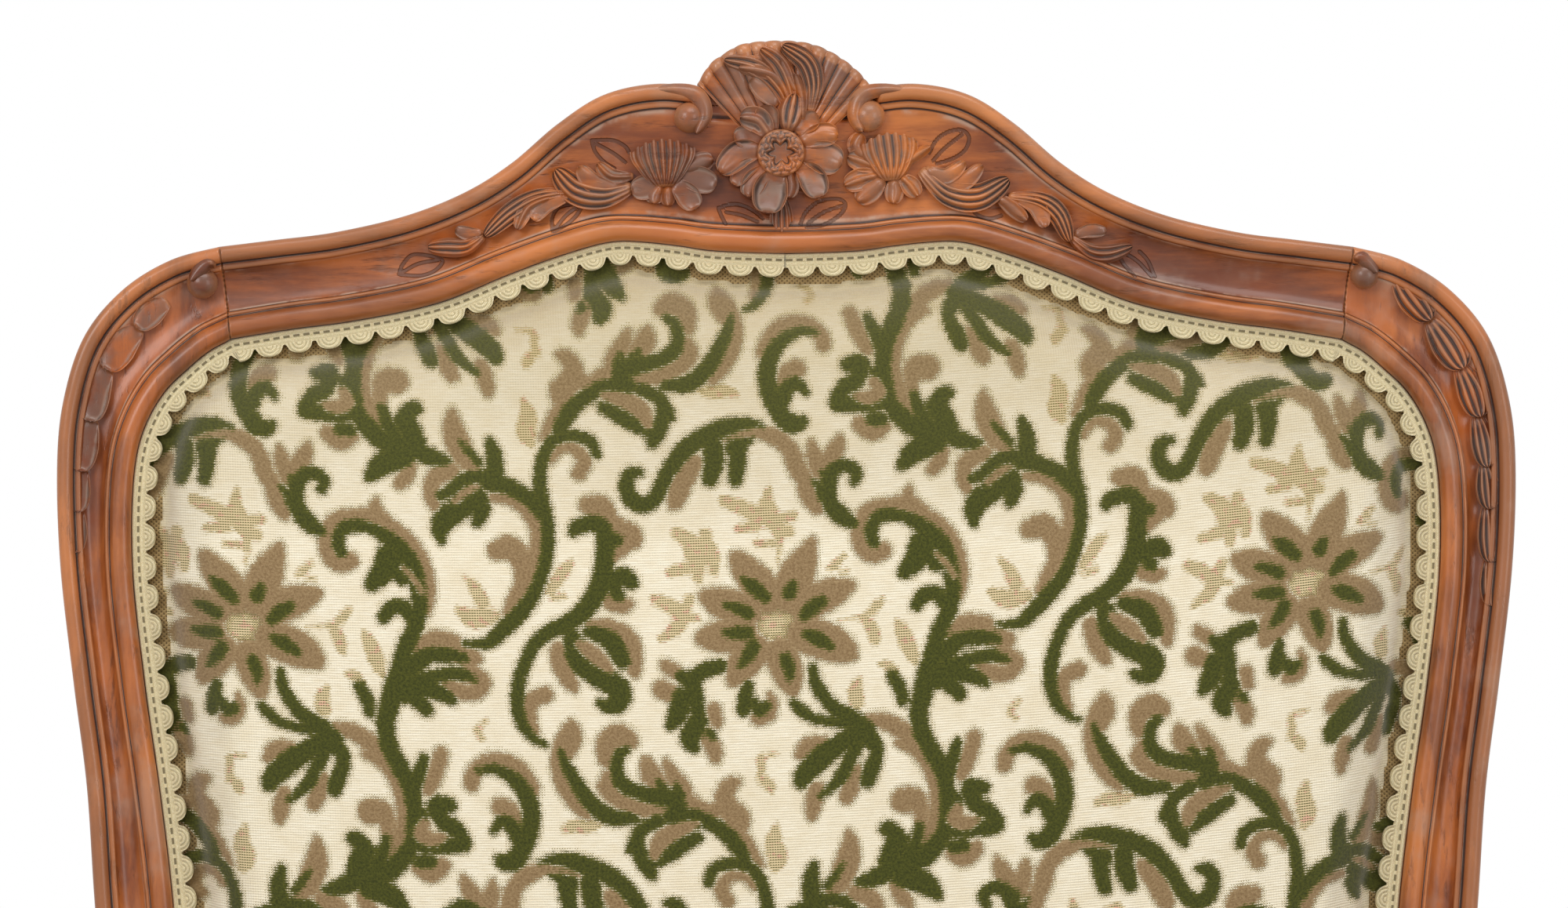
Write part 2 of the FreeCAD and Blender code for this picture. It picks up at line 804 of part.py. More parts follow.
def straps(centres_a, centres_b, place, ends_a, ends_b, thick):
    """Webbing straps crossing each other, as one flat mesh."""
    bars = []
    half = strap_width / 2.0
    for c in centres_a:
        low, high = ends_a(c)
        corners = [place(c - half, low), place(c + half, low), place(c + half, high), place(c - half, high)]
        bars.append(prism(corners, thick))
    for c in centres_b:
        low, high = ends_b(c)
        corners = [place(low, c - half), place(high, c - half), place(high, c + half), place(low, c + half)]
        bars.append(prism(corners, thick))
    return bars[0].fuse(bars[1:]).removeSplitter()


# Upholstery of the seat

def seat_plan(grow, share=1.0):
    """Points round the seat, outside the rails' tack band by grow and drawn in by share."""
    corner = seat_corner
    g = grow
    right = []
    for index in range(5):
        x = front_rail_half * index / 4.0
        right.append((x, tack_face_y - front_bow_at(x) - g))
    bend = corner * (1.0 - math.sqrt(0.5))
    right.append((tack_face_x - corner, tack_face_y - g))
    right.append((tack_face_x - bend + g * 0.7, tack_face_y + bend - g * 0.7))
    right.append((tack_face_x + g, tack_face_y + corner))
    for index in range(6):
        part = index / 5.0
        y = side_front_y + (side_rear_y - side_front_y) * part
        inner = side_inner_front + (side_inner_rear - side_inner_front) * part
        x = inner + rail_thickness + side_bow_at(part) - tack_rebate
        right.append((x + g, y))
    rear = rear_rail_back
    side_x = post_across + post_half - tack_rebate
    right.append((side_x + g * 0.7 - 6.0, rear - 6.0 + g * 0.7))
    right.append((post_across - post_half - 20.0, rear + g))
    right.append((0.0, rear + g))
    left = [(-x, y) for x, y in reversed(right[1:-1])]
    middle_y = (tack_face_y + rear) / 2.0
    return [(x * share, middle_y + (y - middle_y) * share) for x, y in right + left]


def seat_form(grow, low):
    """The stuffed seat's outer form: tacked edge, swelling side, stitched roll and crown."""
    top = seat_rail_top
    swell = seat_side_swell
    levels = [
        (low, 0.0, 1.0),
        (top - 4.0, 0.0, 1.0),
        (top + seat_edge * 0.3, swell, 1.0),
        (top + seat_edge * 0.7, swell * 0.9, 1.0),
        (top + seat_edge, -swell, 0.995),
        (top + seat_crown * 0.76, -swell, 0.9),
        (top + seat_crown * 0.92, -swell, 0.7),
        (top + seat_crown * 0.985, -swell, 0.42),
        (top + seat_crown, -swell, 0.14),
    ]
    wires = []
    for z, side, share in levels:
        lift = grow * max(0.0, (z - top) / seat_crown)
        points = seat_plan(side + grow, share)
        wires.append(placed(points, lambda x, y, h=z + lift: vec(x, y, h)))
    return loft(wires)


def slab(points, low, high):
    return prism(placed(points, lambda x, y: vec(x, y, low)), vec(0, 0, high - low))


# Upholstery of the arms

def arm_pad_form(grow, height, deeper=0.0):
    """A crowned pad standing on the arm between two of its rows, narrower at both ends."""
    rows = arm_rows()
    last = arm_pad_last - arm_pad_first
    sections = []
    for index in range(last + 1):
        share = index / last
        round_end = math.sqrt(max(0.0, 1.0 - (2.0 * share - 1.0) ** 4))
        shift = grow * ((index == last) - (index == 0))
        place = arm_place(rows, arm_pad_first + index, shift)
        half = arm_pad_half * (0.55 + 0.45 * round_end) + grow
        seat = rows[arm_pad_first + index][4] + layer_gap
        high = seat + height * (0.35 + 0.65 * round_end) + grow
        side = seat + (high - seat) * 0.35
        bulge = side + (high - side) * 0.72
        steps = [
            (-half, seat - deeper),
            [(half, seat - deeper)],
            [(half, side)],
            [(half * 0.72, bulge), (0.0, high), 2],
            [(-half * 0.72, bulge), (-half, side), 2],
        ]
        sections.append(outline(steps, place))
    return loft(sections)


# Assembly

pieces = {}


def keep(name, shape):
    pieces[name] = shape


def keep_pair(name, right):
    """A right-hand piece and its mirror image."""
    keep(name + "_right", right)
    keep(name + "_left", mirrored(right))


def both(shape):
    return [shape, mirrored(shape)]


# Back frame, joined by tenons and pegs

crest_list = crest_stations()
post_list = post_stations()
low_list = low_rail_stations()
crest_joint = crest_list[-1]
low_joint = low_list[0]

crest_half = turned(crest_list)
crest_line = [left_of(s) for s in reversed(crest_half[1:])] + crest_half
crest = loft([frame_section(s) for s in crest_line])
crest = crest.fuse(both(tenon(crest_joint, 1.0, tenon_long, tenon_thick)))
carving = [shell()]
carving.append(rosette(flower_across, flower_down, flower_radius, flower_petals, flower_front, 0.0))
for sense in (-1.0, 1.0):
    carving.append(rosette(sense * bud_across, bud_down, bud_radius, bud_petals, bud_front, 0.0))
    carving.append(ball(sense * volute_across, volute_down, volute_radius))
crest = crest.fuse(carving)

low_half = refined(low_list, lambda i: 2)
low_line = [left_of(s) for s in low_half[:-1]] + list(reversed(low_half))
low_rail = loft([frame_section(s) for s in low_line])
low_rail = low_rail.fuse(both(tenon(low_joint, -1.0, tenon_long, tenon_thick)))

post = loft([frame_section(s) for s in turned(post_list)])
post = post.fuse([post_leg(), ball(drop_across, drop_down, drop_radius)])
post = post.cut(tenon(crest_joint, 1.0, tenon_long, tenon_thick, fit))
post = post.cut(tenon(low_joint, -1.0, tenon_long, tenon_thick, fit))

# Seat frame and legs

rail_mid = (rail_low + seat_rail_top) / 2.0
tenon_half = rail_height * 0.3
front_tenon_y = front_inner_y - rail_thickness * 0.5


def rail_tenon(start, along, long, grow):
    """An upright tenon of a seat rail."""
    thick = tenon_thick / 2.0 + grow
    return beam(start, along, vec(0, 0, 1), tenon_root + long + grow, tenon_half + grow, thick)


def front_tenon(grow=0.0):
    start = vec(front_rail_half - tenon_root, front_tenon_y, rail_mid)
    return rail_tenon(start, vec(1, 0, 0), tenon_long, grow)


def side_tenon_x(share):
    return side_inner_front + (side_inner_rear - side_inner_front) * share + rail_thickness * 0.5


def side_front_tenon(grow=0.0):
    start = vec(side_tenon_x(0.0), side_front_y + tenon_root, rail_mid)
    return rail_tenon(start, vec(0, -1, 0), tenon_long * 0.6, grow)


def side_rear_tenon(grow=0.0):
    start = vec(side_tenon_x(1.0), side_rear_y - tenon_root, rail_mid)
    return rail_tenon(start, vec(0, 1, 0), tenon_long * 0.8, grow)


def rear_tenon(grow=0.0):
    start = vec(post_across - post_half - tenon_root, (rear_rail_front + rear_rail_back) / 2.0, rail_mid)
    return rail_tenon(start, vec(1, 0, 0), tenon_long * 0.4, grow)


front = front_rail().fuse(both(front_tenon()))
side = side_rail().fuse([side_front_tenon(), side_rear_tenon()])
rear = rear_rail().fuse(both(rear_tenon()))
front_post = front_leg().cut(front_tenon(fit)).cut(side_front_tenon(fit))
post = post.cut(side_rear_tenon(fit)).cut(rear_tenon(fit))

# Arms and their supports

arm_tenon_start = arm_path()[0] - vec(0, arm_tenon_root, 0)
arm_top = support_path()[-1]


def arm_tenon(grow=0.0):
    long = arm_tenon_root + arm_tenon_long + grow
    half_up = arm_tenon_half_up + grow
    return beam(arm_tenon_start, vec(0, 1, 0), vec(0, 0, 1), long, half_up, arm_tenon_half_side + grow)


def support_dowel(grow=0.0):
    base = arm_top - vec(0, 0, arm_half_thick + 12.0)
    return Part.makeCylinder(dowel_radius + grow, dowel_long + grow, base)


def foot_tenon(grow=0.0):
    foot = support_path()[0]
    start = vec(foot.x - 3.0, foot.y, seat_rail_top + tenon_root)
    long = tenon_root + tenon_long + grow
    half_side = foot_tenon_half_side + grow
    return beam(start, vec(0, 0, -1), vec(0, 1, 0), long, half_side, foot_tenon_half_thick + grow)


arm_blank = arm().cut(post)
arm_body = max(arm_blank.Solids, key=lambda s: s.Volume)
support = arm_support().cut(side).cut(arm_body)
support = max(support.Solids, key=lambda s: s.Volume)
support = support.fuse([foot_tenon(), support_dowel()])
side = side.cut(foot_tenon(fit))
arm_body = arm_body.cut(support_dowel(fit)).fuse(arm_tenon())
post = post.cut(arm_tenon(fit))

# Draw-bore pegs, one spot for each: middle, direction, length, pieces that it passes

def peg_holes(spots):
    return [peg(middle, along, long + 2.0 * fit, peg_radius + fit) for middle, along, long in spots]


def paired(shapes):
    return shapes + [mirrored(shape) for shape in shapes]


front_spots = []
side_spots = []
side_rear_spots = []
rear_spots = []
for level in peg_levels:
    z = rail_mid + tenon_half * level
    tenon_x = front_rail_half + tenon_long * 0.55
    front_spots.append((vec(tenon_x, block_face_y + peg_deep / 2.0, z), vec(0, -1, 0), peg_deep))
    tenon_y = side_front_y - tenon_long * 0.3
    side_spots.append((vec(block_face_x - peg_deep / 2.0, tenon_y, z), vec(1, 0, 0), peg_deep))
    tenon_y = side_rear_y + tenon_long * 0.42
    side_rear_x = post_across + post_half - post_deep / 2.0
    side_rear_spots.append((vec(side_rear_x, tenon_y, z), vec(1, 0, 0), post_deep))
    tenon_x = post_across - post_half + tenon_long * 0.2
    rear_spots.append((vec(tenon_x, back_foot_y + post_half - rear_deep / 2.0, z), vec(0, 1, 0), rear_deep))
crest_spots = [joint_peg_spot(crest_joint, 1.0)]
low_spots = [joint_peg_spot(low_joint, -1.0)]

front_post = front_post.cut(peg_holes(front_spots + side_spots))
post = post.cut(peg_holes(side_rear_spots + rear_spots + crest_spots + low_spots))
side = side.cut(peg_holes(side_spots + side_rear_spots))
front = front.cut(paired(peg_holes(front_spots)))
rear = rear.cut(paired(peg_holes(rear_spots)))
crest = crest.cut(paired(peg_holes(crest_spots)))
low_rail = low_rail.cut(paired(peg_holes(low_spots)))
right_spots = front_spots + side_spots + side_rear_spots + rear_spots + crest_spots + low_spots
pegs = paired([peg(middle, along, long) for middle, along, long in right_spots])

# Glue blocks in the corners of the seat frame


def side_inner_at(y):
    share = (y - side_front_y) / (side_rear_y - side_front_y)
    return side_inner_front + (side_inner_rear - side_inner_front) * share


def corner_block(rail_y, leg_x, leg_y, towards):
    """A glue block between a cross rail and a side rail, notched round the leg."""
    reach = corner_reach * towards
    corners = [
        (leg_x - corner_reach, rail_y + fit * towards),
        (leg_x - fit, rail_y + fit * towards),
        (leg_x - fit, leg_y + fit * towards),
        (side_inner_at(leg_y) - fit, leg_y + fit * towards),
        (side_inner_at(leg_y + reach) - fit, leg_y + reach),
    ]
    low = seat_rail_top - corner_high - 5.0
    return prism([vec(x, y, low) for x, y in corners], vec(0, 0, corner_high))


front_block = corner_block(front_inner_y, front_rail_half, side_front_y, 1.0)
rear_block = corner_block(rear_rail_front, post_across - post_half, side_rear_y, -1.0)

keep("crest_rail", crest)
keep("back_bottom_rail", low_rail)
keep_pair("back_post", post)
keep("seat_front_rail", front)
keep_pair("seat_side_rail", side)
keep("seat_rear_rail", rear)
keep_pair("front_leg", front_post)
keep_pair("arm", arm_body)
keep_pair("arm_support", support)
keep_pair("corner_block_front", front_block)
keep_pair("corner_block_rear", rear_block)
keep("joint_pegs", Part.makeCompound(pegs))

# Back upholstery, built up from the tacking ledge

webbing_low = ledge_front + layer_gap
webbing_high = webbing_low + strap
back_cloth_low = webbing_high + layer_gap
back_cloth_high = back_cloth_low + sacking
back_pad_low = back_cloth_high + layer_gap
back_middle = (crest_width + shell_drop + low_rail_top) / 2.0

lift = on_back(0, 0, strap) - on_back(0, 0, 0)
back_straps = straps(
    [back_strap_across * k for k in (-1, 0, 1)],
    [back_middle + back_strap_down * k for k in (-1, 0, 1)],
    lambda x, d: on_back(x, d, webbing_low),
    lambda c: (0.0, back_length),
    lambda c: (-back_half_width, back_half_width),
    lift,
)
keep("back_webbing", back_straps.common(flat_panel(sight_loop(3.0), webbing_low - 1.0, webbing_high + 1.0)))
keep("back_hessian", flat_panel(sight_loop(2.0), back_cloth_low, back_cloth_high))
keep("back_padding", crowned_back(back_pad_low, back_crown, gimp_width, -layer_gap))
flange = flat_panel(sight_loop(0.8), back_pad_low, back_pad_low + cloth)
inner_pad = crowned_back(back_pad_low, back_crown, gimp_width, 0.0)
keep("back_cover", crowned_back(back_pad_low, back_crown, gimp_width, cloth).fuse(flange).cut(inner_pad))
gimp_low = back_pad_low + cloth + layer_gap
hole = crowned_back(back_pad_low, back_crown, gimp_width, cloth + layer_gap)


def gimp_band(low, high):
    band = flat_panel(sight_loop(0.8), low, high)
    return band.cut(flat_panel(sight_loop(gimp_width - cloth - 1.5), low - 1.0, high + 1.0))


keep("back_gimp", gimp_band(gimp_low, gimp_low + gimp_thick))
rear_low = ledge_rear - layer_gap - cloth
keep("outside_back_cover", flat_panel(sight_loop(0.8), rear_low, ledge_rear - layer_gap))
keep("outside_back_gimp", gimp_band(rear_low - layer_gap - gimp_thick, rear_low - layer_gap))

# Seat upholstery, built up from the rails

seat_web_low = seat_rail_top + layer_gap
seat_cloth_low = seat_web_low + strap + layer_gap
seat_pad_low = seat_cloth_low + sacking + layer_gap
notch = both(arm_support(fit * 2.0)) + both(post_leg(fit * 2.0))
inner_form = seat_form(layer_gap, band_low - 2.0)
above = Part.makeBox(4.0 * block_face_x, 3.0 * seat_depth, 2.0 * seat_crown)
above.translate(vec(-2.0 * block_face_x, -1.5 * seat_depth, seat_pad_low))
keep("seat_padding", seat_form(0.0, band_low - 2.0).common(above).cut(notch))
keep("seat_cover", seat_form(layer_gap + cloth, band_low + 1.0).cut(inner_form).cut(notch))
keep("seat_hessian", slab(seat_plan(-4.0), seat_cloth_low, seat_cloth_low + sacking).cut(notch))
seat_middle = (tack_face_y + rear_rail_back) / 2.0
seat_straps = straps(
    [seat_strap_across * k for k in (-2, -1, 0, 1, 2)],
    [seat_middle + seat_strap_deep * k for k in (-1.5, -0.5, 0.5, 1.5)],
    lambda x, y: vec(x, y, seat_web_low),
    lambda c: (-2.0 * seat_depth, 2.0 * seat_depth),
    lambda c: (-2.0 * back_half_width, 2.0 * back_half_width),
    vec(0, 0, strap),
)
web_space = slab(seat_plan(-7.0), seat_web_low - 1.0, seat_web_low + 2.0)
keep("seat_webbing", seat_straps.common(web_space).cut(notch))
gimp_in = layer_gap * 2.0 + cloth
seat_band = slab(seat_plan(gimp_in + gimp_thick), band_low + 1.0, band_low + 1.0 + gimp_width)
seat_hole = slab(seat_plan(gimp_in), band_low, band_low + 2.0 + gimp_width)
keep("seat_gimp", seat_band.cut(seat_hole).cut(notch))

# Arm pads

cover_grow = layer_gap + cloth
band_grow = cover_grow + layer_gap
arm_pad = arm_pad_form(0.0, arm_pad_high)
arm_cover = arm_pad_form(cover_grow, arm_pad_high).cut(arm_pad_form(layer_gap, arm_pad_high, 2.0))
arm_band = arm_pad_form(band_grow + gimp_thick, arm_gimp_high)
arm_band = arm_band.cut(arm_pad_form(band_grow, arm_pad_high, 2.0))
keep_pair("arm_padding", arm_pad)
keep_pair("arm_pad_cover", arm_cover)
keep_pair("arm_gimp", arm_band)

# The chair stands with the middle of its box over the origin.

bounds = Part.makeCompound(list(pieces.values())).optimalBoundingBox(False)
print("size", bounds.XLength, bounds.YLength, bounds.ZLength, "middle", (bounds.YMin + bounds.YMax) / 2.0)
shift = vec(0, -(bounds.YMin + bounds.YMax) / 2.0, -bounds.ZMin)

os.makedirs("parts", exist_ok=True)
for name, shape in pieces.items():
    shape.translate(shift)
    shape.exportStep("parts/" + name + ".step")
    print(name, "valid" if shape.isValid() else "broken", round(shape.Volume / 1000.0, 2), "cm3")
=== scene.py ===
import math
import bpy
import numpy as np
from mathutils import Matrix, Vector
from mathutils.bvhtree import BVHTree
from mathutils.kdtree import KDTree


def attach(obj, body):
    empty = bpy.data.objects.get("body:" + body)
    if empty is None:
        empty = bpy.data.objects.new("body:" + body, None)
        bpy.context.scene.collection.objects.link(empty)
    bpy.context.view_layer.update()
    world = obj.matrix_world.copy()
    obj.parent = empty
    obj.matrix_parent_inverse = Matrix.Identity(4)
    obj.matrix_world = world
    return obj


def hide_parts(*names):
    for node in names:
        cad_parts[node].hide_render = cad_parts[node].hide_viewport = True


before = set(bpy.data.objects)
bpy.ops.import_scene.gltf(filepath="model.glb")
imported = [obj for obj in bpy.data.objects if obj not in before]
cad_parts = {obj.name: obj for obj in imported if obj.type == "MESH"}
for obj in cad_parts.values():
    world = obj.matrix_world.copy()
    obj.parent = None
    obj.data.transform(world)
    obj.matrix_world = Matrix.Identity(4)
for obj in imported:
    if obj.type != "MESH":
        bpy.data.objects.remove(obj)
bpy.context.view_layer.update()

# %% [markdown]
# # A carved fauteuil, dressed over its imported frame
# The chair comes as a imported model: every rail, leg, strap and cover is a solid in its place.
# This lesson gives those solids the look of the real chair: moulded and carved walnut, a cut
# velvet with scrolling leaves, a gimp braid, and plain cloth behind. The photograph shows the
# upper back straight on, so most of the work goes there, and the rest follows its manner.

# %% [markdown]
# ## The leaning back as a drawing board
# A chair's back is set out flat on a board: so far across, so far down from the top of the
# crest, so far proud of the frame's middle plane. One helper turns such places into metres
# of the leaning chair, so that all carving can be written in millimetres, as a carver works.
# The carver's own drawing is three times life size, so its places are thirds of a millimetre.

# %% The drawing board
mm = 0.001
lean = math.radians(9.0)
back_length = 700.0
seat_top = 350.0
back_foot_y = 197.739
drawn_per_mm, drawn_middle, drawn_top = 3, 1001.5, 49


def off_drawing(x, y):
    """Millimetres across and down the back for a place on the drawing."""
    return (x - drawn_middle) / drawn_per_mm, (y - drawn_top) / drawn_per_mm


def on_drawing(across, down):
    """The place on the drawing for millimetres across and down the back."""
    return drawn_middle + across * drawn_per_mm, drawn_top + down * drawn_per_mm


def on_back(points):
    """Metres of the chair for places given as across, down and proud, in millimetres."""
    points = np.asarray(points, float)
    across, down, proud = points[..., 0], points[..., 1], points[..., 2]
    up = back_length - down
    y = back_foot_y + up * math.sin(lean) - proud * math.cos(lean)
    z = seat_top + up * math.cos(lean) + proud * math.sin(lean)
    return np.stack([across, y, z], -1) * mm


print("crest top at", on_back([0, 0, 0]))

# %% [markdown]
# ## Meshes from rows of points
# Mouldings and carving are surfaces that run along a curve with a changing section. Extruding
# by hand can't hold a section that widens and turns at once, so these pieces are woven from
# rows of points in mesh code. Operators further down remesh, extrude, thicken, join and add the
# floor.

# %% Weaving rows of points into a piece
def grid_faces(rows, columns, round_rows=False, round_columns=False):
    """Four-sided faces between neighbouring points of a grid."""
    r = np.arange(rows if round_rows else rows - 1)
    c = np.arange(columns if round_columns else columns - 1)
    r, c = np.meshgrid(r, c, indexing="ij")
    a = r * columns + c
    b = r * columns + (c + 1) % columns
    d = ((r + 1) % rows) * columns + c
    e = ((r + 1) % rows) * columns + (c + 1) % columns
    return np.stack([a, b, e, d], -1).reshape(-1, 4).tolist()


def tube_faces(rows, columns):
    """Faces of a closed tube of points, with its two ends."""
    faces = grid_faces(rows, columns, round_columns=True)
    return faces + [list(range(columns)), list(range((rows - 1) * columns, rows * columns))]


def new_piece(name, points, faces, material):
    """A new object at the origin with its place in its mesh."""
    mesh = bpy.data.meshes.new(name)
    mesh.from_pydata(np.asarray(points).reshape(-1, 3).tolist(), [], faces)
    mesh.validate()
    piece = bpy.data.objects.new(name, mesh)
    bpy.context.scene.collection.objects.link(piece)
    mesh.polygons.foreach_set("use_smooth", [True] * len(mesh.polygons))
    mesh.materials.append(material)
    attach(piece, "root")
    return piece


def vectors(piece):
    """Places, in metres, and normals of a piece's points."""
    count = len(piece.data.vertices)
    places, normals = np.empty(count * 3), np.empty(count * 3)
    piece.data.vertices.foreach_get("co", places)
    piece.data.vertex_normals.foreach_get("vector", normals)
    return places.reshape(-1, 3), normals.reshape(-1, 3)


def keep_marks(piece, **marks):
    """Keep numbers with a piece's points, for its finish to read."""
    for name, values in marks.items():
        mark = piece.data.attributes.new(name, "FLOAT", "POINT")
        mark.data.foreach_set("value", np.asarray(values, np.float32).ravel())


def only(piece):
    """Select one piece alone and make it active."""
    bpy.ops.object.select_all(action="DESELECT")
    piece.select_set(True)
    bpy.context.view_layer.objects.active = piece


def face_outwards(piece, merge=True):
    """Turn all faces outwards, if wanted after merging doubled points."""
    only(piece)
    bpy.ops.object.mode_set(mode="EDIT")
    bpy.ops.mesh.select_all(action="SELECT")
    if merge:
        bpy.ops.mesh.remove_doubles(threshold=0.00001)
    bpy.ops.mesh.normals_make_consistent(inside=False)
    bpy.ops.object.mode_set(mode="OBJECT")


def smooth_rows(rows, places):
    """Rows read off a smooth curve through the given rows, at places counted in rows."""
    rows = np.asarray(rows, float)
    last = len(rows) - 1
    places = np.asarray(places, float)
    index = np.clip(places.astype(int), 0, last - 1)
    t = (places - index)[:, None]
    a, b = rows[np.maximum(index - 1, 0)], rows[index]
    c, d = rows[index + 1], rows[np.minimum(index + 2, last)]
    return 0.5 * ((2 * b) + (c - a) * t + (2 * a - 5 * b + 4 * c - d) * t ** 2
                  + (3 * b - a - 3 * c + d) * t ** 3)


def even_rows(rows, step):
    """Rows read off the smooth curve at about even steps of their first two numbers."""
    fine = smooth_rows(rows, np.linspace(0, len(rows) - 1, 60 * len(rows)))
    gaps = np.hypot(*np.diff(fine[:, :2], axis=0).T)
    run = np.concatenate([[0], np.cumsum(gaps)])
    wanted = np.linspace(0, run[-1], max(2, int(run[-1] / step) + 1))
    return np.stack([np.interp(wanted, run, column) for column in fine.T], 1)


def arc(start, middle, end, cuts):
    """Points after the start on an arc through three flat points."""
    (ax, ay), (bx, by), (cx, cy) = start, middle, end
    turn = 2 * (ax * (by - cy) + bx * (cy - ay) + cx * (ay - by))
    sa, sb, sc = ax * ax + ay * ay, bx * bx + by * by, cx * cx + cy * cy
    mx = (sa * (by - cy) + sb * (cy - ay) + sc * (ay - by)) / turn
    my = (sa * (cx - bx) + sb * (ax - cx) + sc * (bx - ax)) / turn
    begin = math.atan2(ay - my, ax - mx)
    sweep = (math.atan2(cy - my, cx - mx) - begin) % (2 * math.pi)
    sweep = sweep if turn > 0 else sweep - 2 * math.pi
    radius = math.hypot(ax - mx, ay - my)
    turns = [begin + sweep * (k + 1) / cuts for k in range(cuts)]
    return [(mx + radius * math.cos(t), my + radius * math.sin(t)) for t in turns]


# %% [markdown]
# ## Shader sums
# A finish is a sum of small effects: grain, dirt, wax. Writing them as plain Python sums keeps
# them readable, so a small class wraps a socket and turns each operator into a Math node.

# %% A socket that can be added and multiplied
class Amount:
    """A number of the shader, for use in Python expressions."""

    def __init__(self, paint, socket):
        self.paint, self.socket = paint, socket

    def _sum(self, operation, first, second=0.0):
        sockets = {0: first, 1: second}
        return self.paint.node("ShaderNodeMath", {"operation": operation}, sockets)

    def __add__(self, other): return self._sum("ADD", self, other)
    def __radd__(self, other): return self._sum("ADD", other, self)
    def __sub__(self, other): return self._sum("SUBTRACT", self, other)
    def __rsub__(self, other): return self._sum("SUBTRACT", other, self)
    def __mul__(self, other): return self._sum("MULTIPLY", self, other)
    def __lt__(self, other): return self._sum("LESS_THAN", self, other)
    def __mod__(self, other): return self._sum("FLOORED_MODULO", self, other)
    def __abs__(self): return self._sum("ABSOLUTE", self)
    def sine(self): return self._sum("SINE", self)
    def least(self, other): return self._sum("MINIMUM", self, other)
    def most(self, other): return self._sum("MAXIMUM", self, other)

    def ramp(self, low, high):
        """0 below low and 1 above high, smooth between."""
        sockets = {"Value": self, "From Min": low, "From Max": high}
        settings = {"interpolation_type": "SMOOTHSTEP"}
        return self.paint.node("ShaderNodeMapRange", settings, sockets)


class Finish:
    """A procedural material in the making."""

    def __init__(self, name):
        self.material = bpy.data.materials.new(name)
        self.material.use_nodes = True
        self.tree = self.material.node_tree
        self.shader = next(n for n in self.tree.nodes if n.type == "BSDF_PRINCIPLED")

    def node(self, kind, settings=None, sockets=None, out=0):
        """Any node: its settings first, then its sockets, then one of its outputs."""
        node = self.tree.nodes.new(kind)
        for key, value in (settings or {}).items():
            setattr(node, key, value)
        for key, value in (sockets or {}).items():
            if isinstance(value, Amount):
                self.tree.links.new(value.socket, node.inputs[key])
            else:
                node.inputs[key].default_value = value
        return Amount(self, node.outputs[out])

    def place(self, stretch=(1, 1, 1)):
        """The object's own coordinates, stretched."""
        return self.stretched(self.node("ShaderNodeTexCoord", out="Object"), stretch)

    def stretched(self, spot, stretch):
        """A place, stretched along its three axes."""
        return self.node("ShaderNodeMapping", {}, {"Vector": spot, "Scale": stretch})

    def noise(self, where, scale, detail=2.0, rough=0.5):
        sockets = {"Vector": where, "Scale": scale, "Detail": detail, "Roughness": rough}
        return self.node("ShaderNodeTexNoise", {}, sockets, out="Fac")

    def mark(self, name):
        """A number that is kept with the mesh."""
        return self.node("ShaderNodeAttribute", {"attribute_name": name}, {}, out="Fac")

    def mix(self, factor, first, second):
        settings = {"data_type": "RGBA"}
        first, second = (c if isinstance(c, Amount) else (*c, 1.0) for c in (first, second))
        return self.node("ShaderNodeMix", settings, {0: factor, 6: first, 7: second}, out=2)

    def relief(self, height, depth):
        """Fine relief, depth being what a height of 1 stands for, in metres."""
        sockets = {"Height": height, "Distance": depth, "Strength": 1.0}
        normal = self.node("ShaderNodeBump", {}, sockets)
        self.tree.links.new(normal.socket, self.shader.inputs["Normal"])

    def set(self, **values):
        """Values or links of the shader's own sockets, _ standing for a space."""
        for key, value in values.items():
            socket = self.shader.inputs[key.replace("_", " ")]
            if isinstance(value, Amount):
                self.tree.links.new(value.socket, socket)
            else:
                socket.default_value = value


def tone(red, green, blue):
    """A colour as the eye reads it, 0 to 255, turned into light."""
    return tuple(((c / 255 + 0.055) / 1.055) ** 2.4 for c in (red, green, blue))
